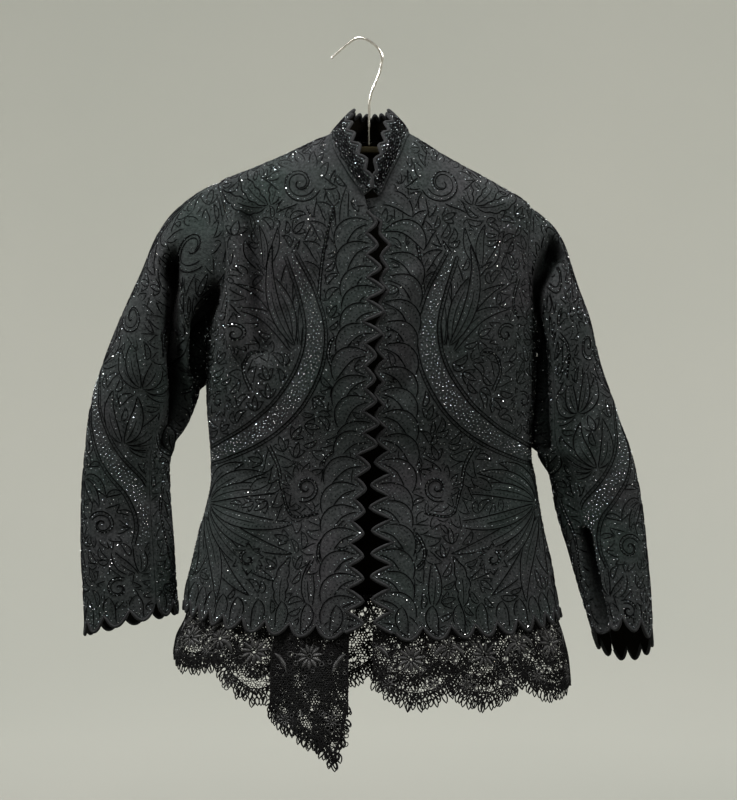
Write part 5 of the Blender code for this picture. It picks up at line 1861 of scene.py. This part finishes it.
def wood_material():
    made, tree, shader = principled("bar_wood", (0.008, 0.007, 0.004), 0.7, Specular_IOR_Level=0.0)
    stretch = tree.nodes.new("ShaderNodeMapping")
    stretch.inputs["Scale"].default_value = (6, 90, 90)
    tree.links.new(coordinates_of(tree, "Object"), stretch.inputs["Vector"])
    grain = add_noise(tree, stretch.outputs["Vector"], 4, 5)
    paint(tree, shader, add_ramp(tree, grain, (0.005, 0.0043, 0.0024), (0.011, 0.0094, 0.0052)))
    add_bump(tree, shader, grain, 0.2, 0.0004)
    return made


def stage_material():
    """Pale paint, with painted shade that darkens the floor near the middle, where the lights are strongest.
    """
    made, tree, shader = principled("stage_paint", (0.5, 0.505, 0.46), 0.95, Specular_IOR_Level=0.1)
    place = coordinates_of(tree, "Object")
    tint = add_ramp(tree, add_noise(tree, place, 0.8, 2), (0.49, 0.496, 0.453), (0.51, 0.51, 0.466))
    # Painted shade: the colour is darker close to the middle of the stage, where the lamps light the floor
    # most
    away = tree.nodes.new("ShaderNodeVectorMath")
    away.operation = "LENGTH"
    tree.links.new(place, away.inputs[0])
    share = tree.nodes.new("ShaderNodeMath")
    share.operation = "DIVIDE"
    share.inputs[1].default_value = 10.0
    tree.links.new(away.outputs["Value"], share.inputs[0])
    shade = add_ramp(tree, share.outputs[0], grey(0.4), grey(1.0), 0.23, 0.56)
    paint(tree, shader, add_product(tree, tint, shade))
    return made


# Pieces

def settle(piece):
    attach(piece, "root")


def inward(panel, name, distance):
    """An edge of the panel's chart moved towards the panel's inside."""
    line = panel.chart_edges[name]
    side = sideways(line)
    outline = np.concatenate(list(panel.chart_edges.values()))
    at = len(line) // 2
    if not inside(outline, (line + side * 0.8)[at:at + 1])[0]:
        side = -side
    return line + side * distance


def build_panel(panel, drawing, finishes, seams=()):
    """One cloth panel with its cords, knots, beads, edge binding and seams."""
    inner = grid_inside(panel.outline, panel.step)
    flat, faces = triangles_of(panel.outline, inner)
    materials = [finishes["wool"], finishes["lining"]]
    cloth = shell(panel.name + "_cloth", flat, faces, panel.surface, CLOTH_WALL, materials)
    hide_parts(panel.name)
    settle(cloth)

    def place(points):
        return panel.surface(panel.to_flat(points))

    lines = [line for line, _ in drawing.lines]
    weights = np.array([weight for _, weight in drawing.lines])
    edge_beads = [spaced(inward(panel, name, EDGE_BEADS_INSET), EDGE_BEADS_PITCH) for name in panel.toothed]
    beads = studs(np.concatenate(drawing.beads + edge_beads), place, BEAD)
    bound = [inward(panel, name, BINDING_INSET) for name in panel.toothed]
    binding = tubes(bound, place, np.full(len(bound), BINDING_RADIUS), -BINDING_SINK, 8)
    knots = studs(np.concatenate(drawing.knots), place, KNOT)
    trims = [
        quad_object(panel.name + "_cords", [cords(lines, weights, place)], finishes["cord"]),
        facet(quad_object(panel.name + "_beads", [beads], finishes["jet"]), 2),
        quad_object(panel.name + "_binding", [binding], finishes["binding"]),
        quad_object(panel.name + "_knots", [knots], finishes["cord"])]
    if drawing.stones:
        stones = studs(np.concatenate(drawing.stones), place, STONE)
        trims.append(facet(quad_object(panel.name + "_stones", [stones], finishes["stone"]), 3))
    if seams:
        edges = [panel.chart_edges[name] for name in seams]
        sewn = tubes(edges, place, np.full(len(edges), SEAM_RADIUS), -SEAM_RADIUS, 6)
        trims.append(quad_object(panel.name + "_seams", [sewn], finishes["wool"]))
    for trim in trims:
        settle(trim)


def rod(name, route_rows, radius, spacing, finish):
    """A round bar along a smooth route, rounded off at its ends."""
    places = np.array([[r.x, 0, -r.drop] for r in route_rows], float)
    lengths = travelled(places)
    at = run(0, lengths[-1], spacing)
    route = np.stack([smooth(lengths, places[:, i], at) for i in range(3)], axis=1)
    from_end = np.minimum(at, lengths[-1] - at)
    size = radius * np.sqrt(np.clip(1 - (1 - np.minimum(from_end / radius, 1)) ** 2, 0.02, 1))
    across = np.array([0.0, 1.0, 0.0])
    up = np.cross(unit(np.gradient(route, axis=0)), across)
    angles = np.arange(ROD_SIDES) / ROD_SIDES * 2 * np.pi
    ways = [across * math.cos(a) + up * math.sin(a) for a in angles]
    rings = np.stack([route + way * size[:, None] for way in ways], axis=1)
    return quad_object(name, [ring_quads(rings, np.arange(len(route) - 1), True)], finish)


def build_hanger(finishes):
    hook = rod("hanger_hook_piece", HOOK_ROUTE, HOOK_WIRE / 2, HOOK_STEP, finishes["metal"])
    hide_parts("hanger_hook")
    settle(hook)
    bar = rod("hanger_bar_piece", BAR_ROUTE, BAR_RADIUS, BAR_STEP, finishes["wood"])
    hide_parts("hanger_bar")
    settle(bar)


def build_wool(finishes):
    for side, mirror in SIGNS.items():
        panel = body_panel(f"front_{side}", front_edges(side), 0.0, side == LAPPING_SIDE)
        drawing = Drawing(panel, PANEL_SEEDS["front"] + mirror)
        drawing.edge_leaves(mirror)
        drawing.motifs(FRONT_MOTIFS, mirror)
        drawing.finish()
        build_panel(panel, drawing, finishes, ("shoulder", "flank"))
    panel = body_panel("back", back_edges(), np.pi)
    drawing = Drawing(panel, PANEL_SEEDS["back"])
    drawing.edge_leaves(1)
    drawing.motifs(BACK_CENTRE)
    for mirror in (1, -1):
        drawing.motifs(FRONT_MOTIFS, mirror)
    drawing.finish()
    build_panel(panel, drawing, finishes)
    for side in SIGNS:
        sleeve = Sleeve(side)
        for part, motifs, seams in (("top", SLEEVE_MOTIFS, ("head", "front seam", "back seam")),
                                    ("under", UNDER_SLEEVE_MOTIFS, ("head",))):
            panel = sleeve_panel(sleeve, part)
            drawing = Drawing(panel, PANEL_SEEDS["sleeve"])
            for gorge in SLEEVE_GORGES[side]:
                if gorge.height < 0:
                    drawing.keep_clear(sleeve.places(gorge), min(gorge.width, NEAR - CELL))
            drawing.edge_leaves(1)
            drawing.motifs(motifs)
            drawing.finish()
            build_panel(panel, drawing, finishes, seams)


def build_collar(finishes):
    panel = collar_panel()
    drawing = Drawing(panel, PANEL_SEEDS["collar"])
    for away in np.arange(COLLAR_FIRST_RIB, COLLAR_HEIGHT, COLLAR_RIB):
        drawing.add(inward(panel, "top", away), 1.0)
    drawing.scatter(*COLLAR_BEADS, drawing.beads)
    drawing.scatter(*COLLAR_KNOTS, drawing.knots)
    build_panel(panel, drawing, finishes, ("foot",))


# Stage, lights and camera

def build_stage():
    """A pale floor that sweeps up into a round backdrop."""
    profile = [(r, FLOOR_Z) for r in np.linspace(FLOOR_MIDDLE, FLOOR_RADIUS, FLOOR_RINGS)]
    for angle in np.linspace(0, np.pi / 2, SWEEP_RINGS)[1:]:
        reach, rise = SWEEP_RADIUS * math.sin(angle), SWEEP_RADIUS * (1 - math.cos(angle))
        profile.append((FLOOR_RADIUS + reach, FLOOR_Z + rise))
    profile.append((FLOOR_RADIUS + SWEEP_RADIUS, WALL_TOP))
    angles = np.arange(STAGE_SIDES + 1) / STAGE_SIDES * 2 * np.pi
    rings = np.array([[(r * math.cos(a), r * math.sin(a), z) for a in angles] for r, z in profile]) / MM
    corners, quads, uvs = ring_quads(rings, np.arange(len(profile) - 1), False)
    quad_object("stage", [(corners, quads[:, ::-1], uvs)], stage_material())


def add_light(name, location, target, size, power, colour):
    light = bpy.data.lights.new(name, "AREA")
    light.shape = "RECTANGLE"
    light.size, light.size_y = size
    light.energy = power
    light.color = colour
    holder = bpy.data.objects.new(name, light)
    bpy.context.scene.collection.objects.link(holder)
    holder.location = location
    holder.rotation_euler = (Vector(target) - Vector(location)).to_track_quat("-Z", "Y").to_euler()
    holder.visible_camera = False


def build_lights():
    for light in LIGHTS:
        add_light(*light)
    for name, (x, y) in WALL_LIGHTS.items():
        place = (x, y, WALL_LIGHT_HEIGHT)
        target = (x * WALL_LIGHT_REACH, y * WALL_LIGHT_REACH, WALL_LIGHT_AIM)
        add_light("wall_" + name, place, target, WALL_LIGHT_SIZE, WALL_LIGHT_POWER, WALL_LIGHT_COLOUR)
    world = bpy.data.worlds.new("world")
    bpy.context.scene.world = world
    world.use_nodes = True
    background = world.node_tree.nodes["Background"]
    background.inputs["Color"].default_value = WORLD_COLOUR
    background.inputs["Strength"].default_value = WORLD_STRENGTH


def build_camera():
    camera = bpy.data.cameras.new("camera")
    camera.sensor_width = CAMERA_SENSOR
    camera.lens = CAMERA_LENS
    holder = bpy.data.objects.new("camera", camera)
    bpy.context.scene.collection.objects.link(holder)
    holder.location = CAMERA_PLACE
    holder.rotation_euler = (math.pi / 2, 0, 0)
    bpy.context.scene.camera = holder
    bpy.context.scene.view_settings.view_transform = "Standard"


def main():
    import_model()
    finishes = {
        "wool": wool_material(),
        "lining": lining_material(),
        "cord": cord_material("cord", (0.0014, 0.0014, 0.0015), (0.003, 0.003, 0.0032), 0.6, 0.0),
        "binding": cord_material(
            "binding", (0.0085, 0.0088, 0.0092), (0.0125, 0.0129, 0.0134), 0.8, 0.04),
        "lace": cord_material(
            "lace_thread", (0.0022, 0.0022, 0.0022), (0.0052, 0.0052, 0.0054), 0.7, 0.04),
        "petal": cord_material("lace_petal", (0.007, 0.007, 0.0072), (0.014, 0.014, 0.0144), 0.5, 0.3),
        "jet": bead_material("jet_bead", (0.14, 0.16, 0.17), 0.5, 0.68),
        "stone": bead_material("pale_bead", (0.07, 0.086, 0.093), 0.38, 0.7),
        "metal": metal_material(),
        "wood": wood_material(),
    }
    build_hanger(finishes)
    build_wool(finishes)
    build_collar(finishes)
    for stretch in LACE_NETS:
        build_lace(*stretch, finishes)
    build_stage()
    build_lights()
    build_camera()


main()
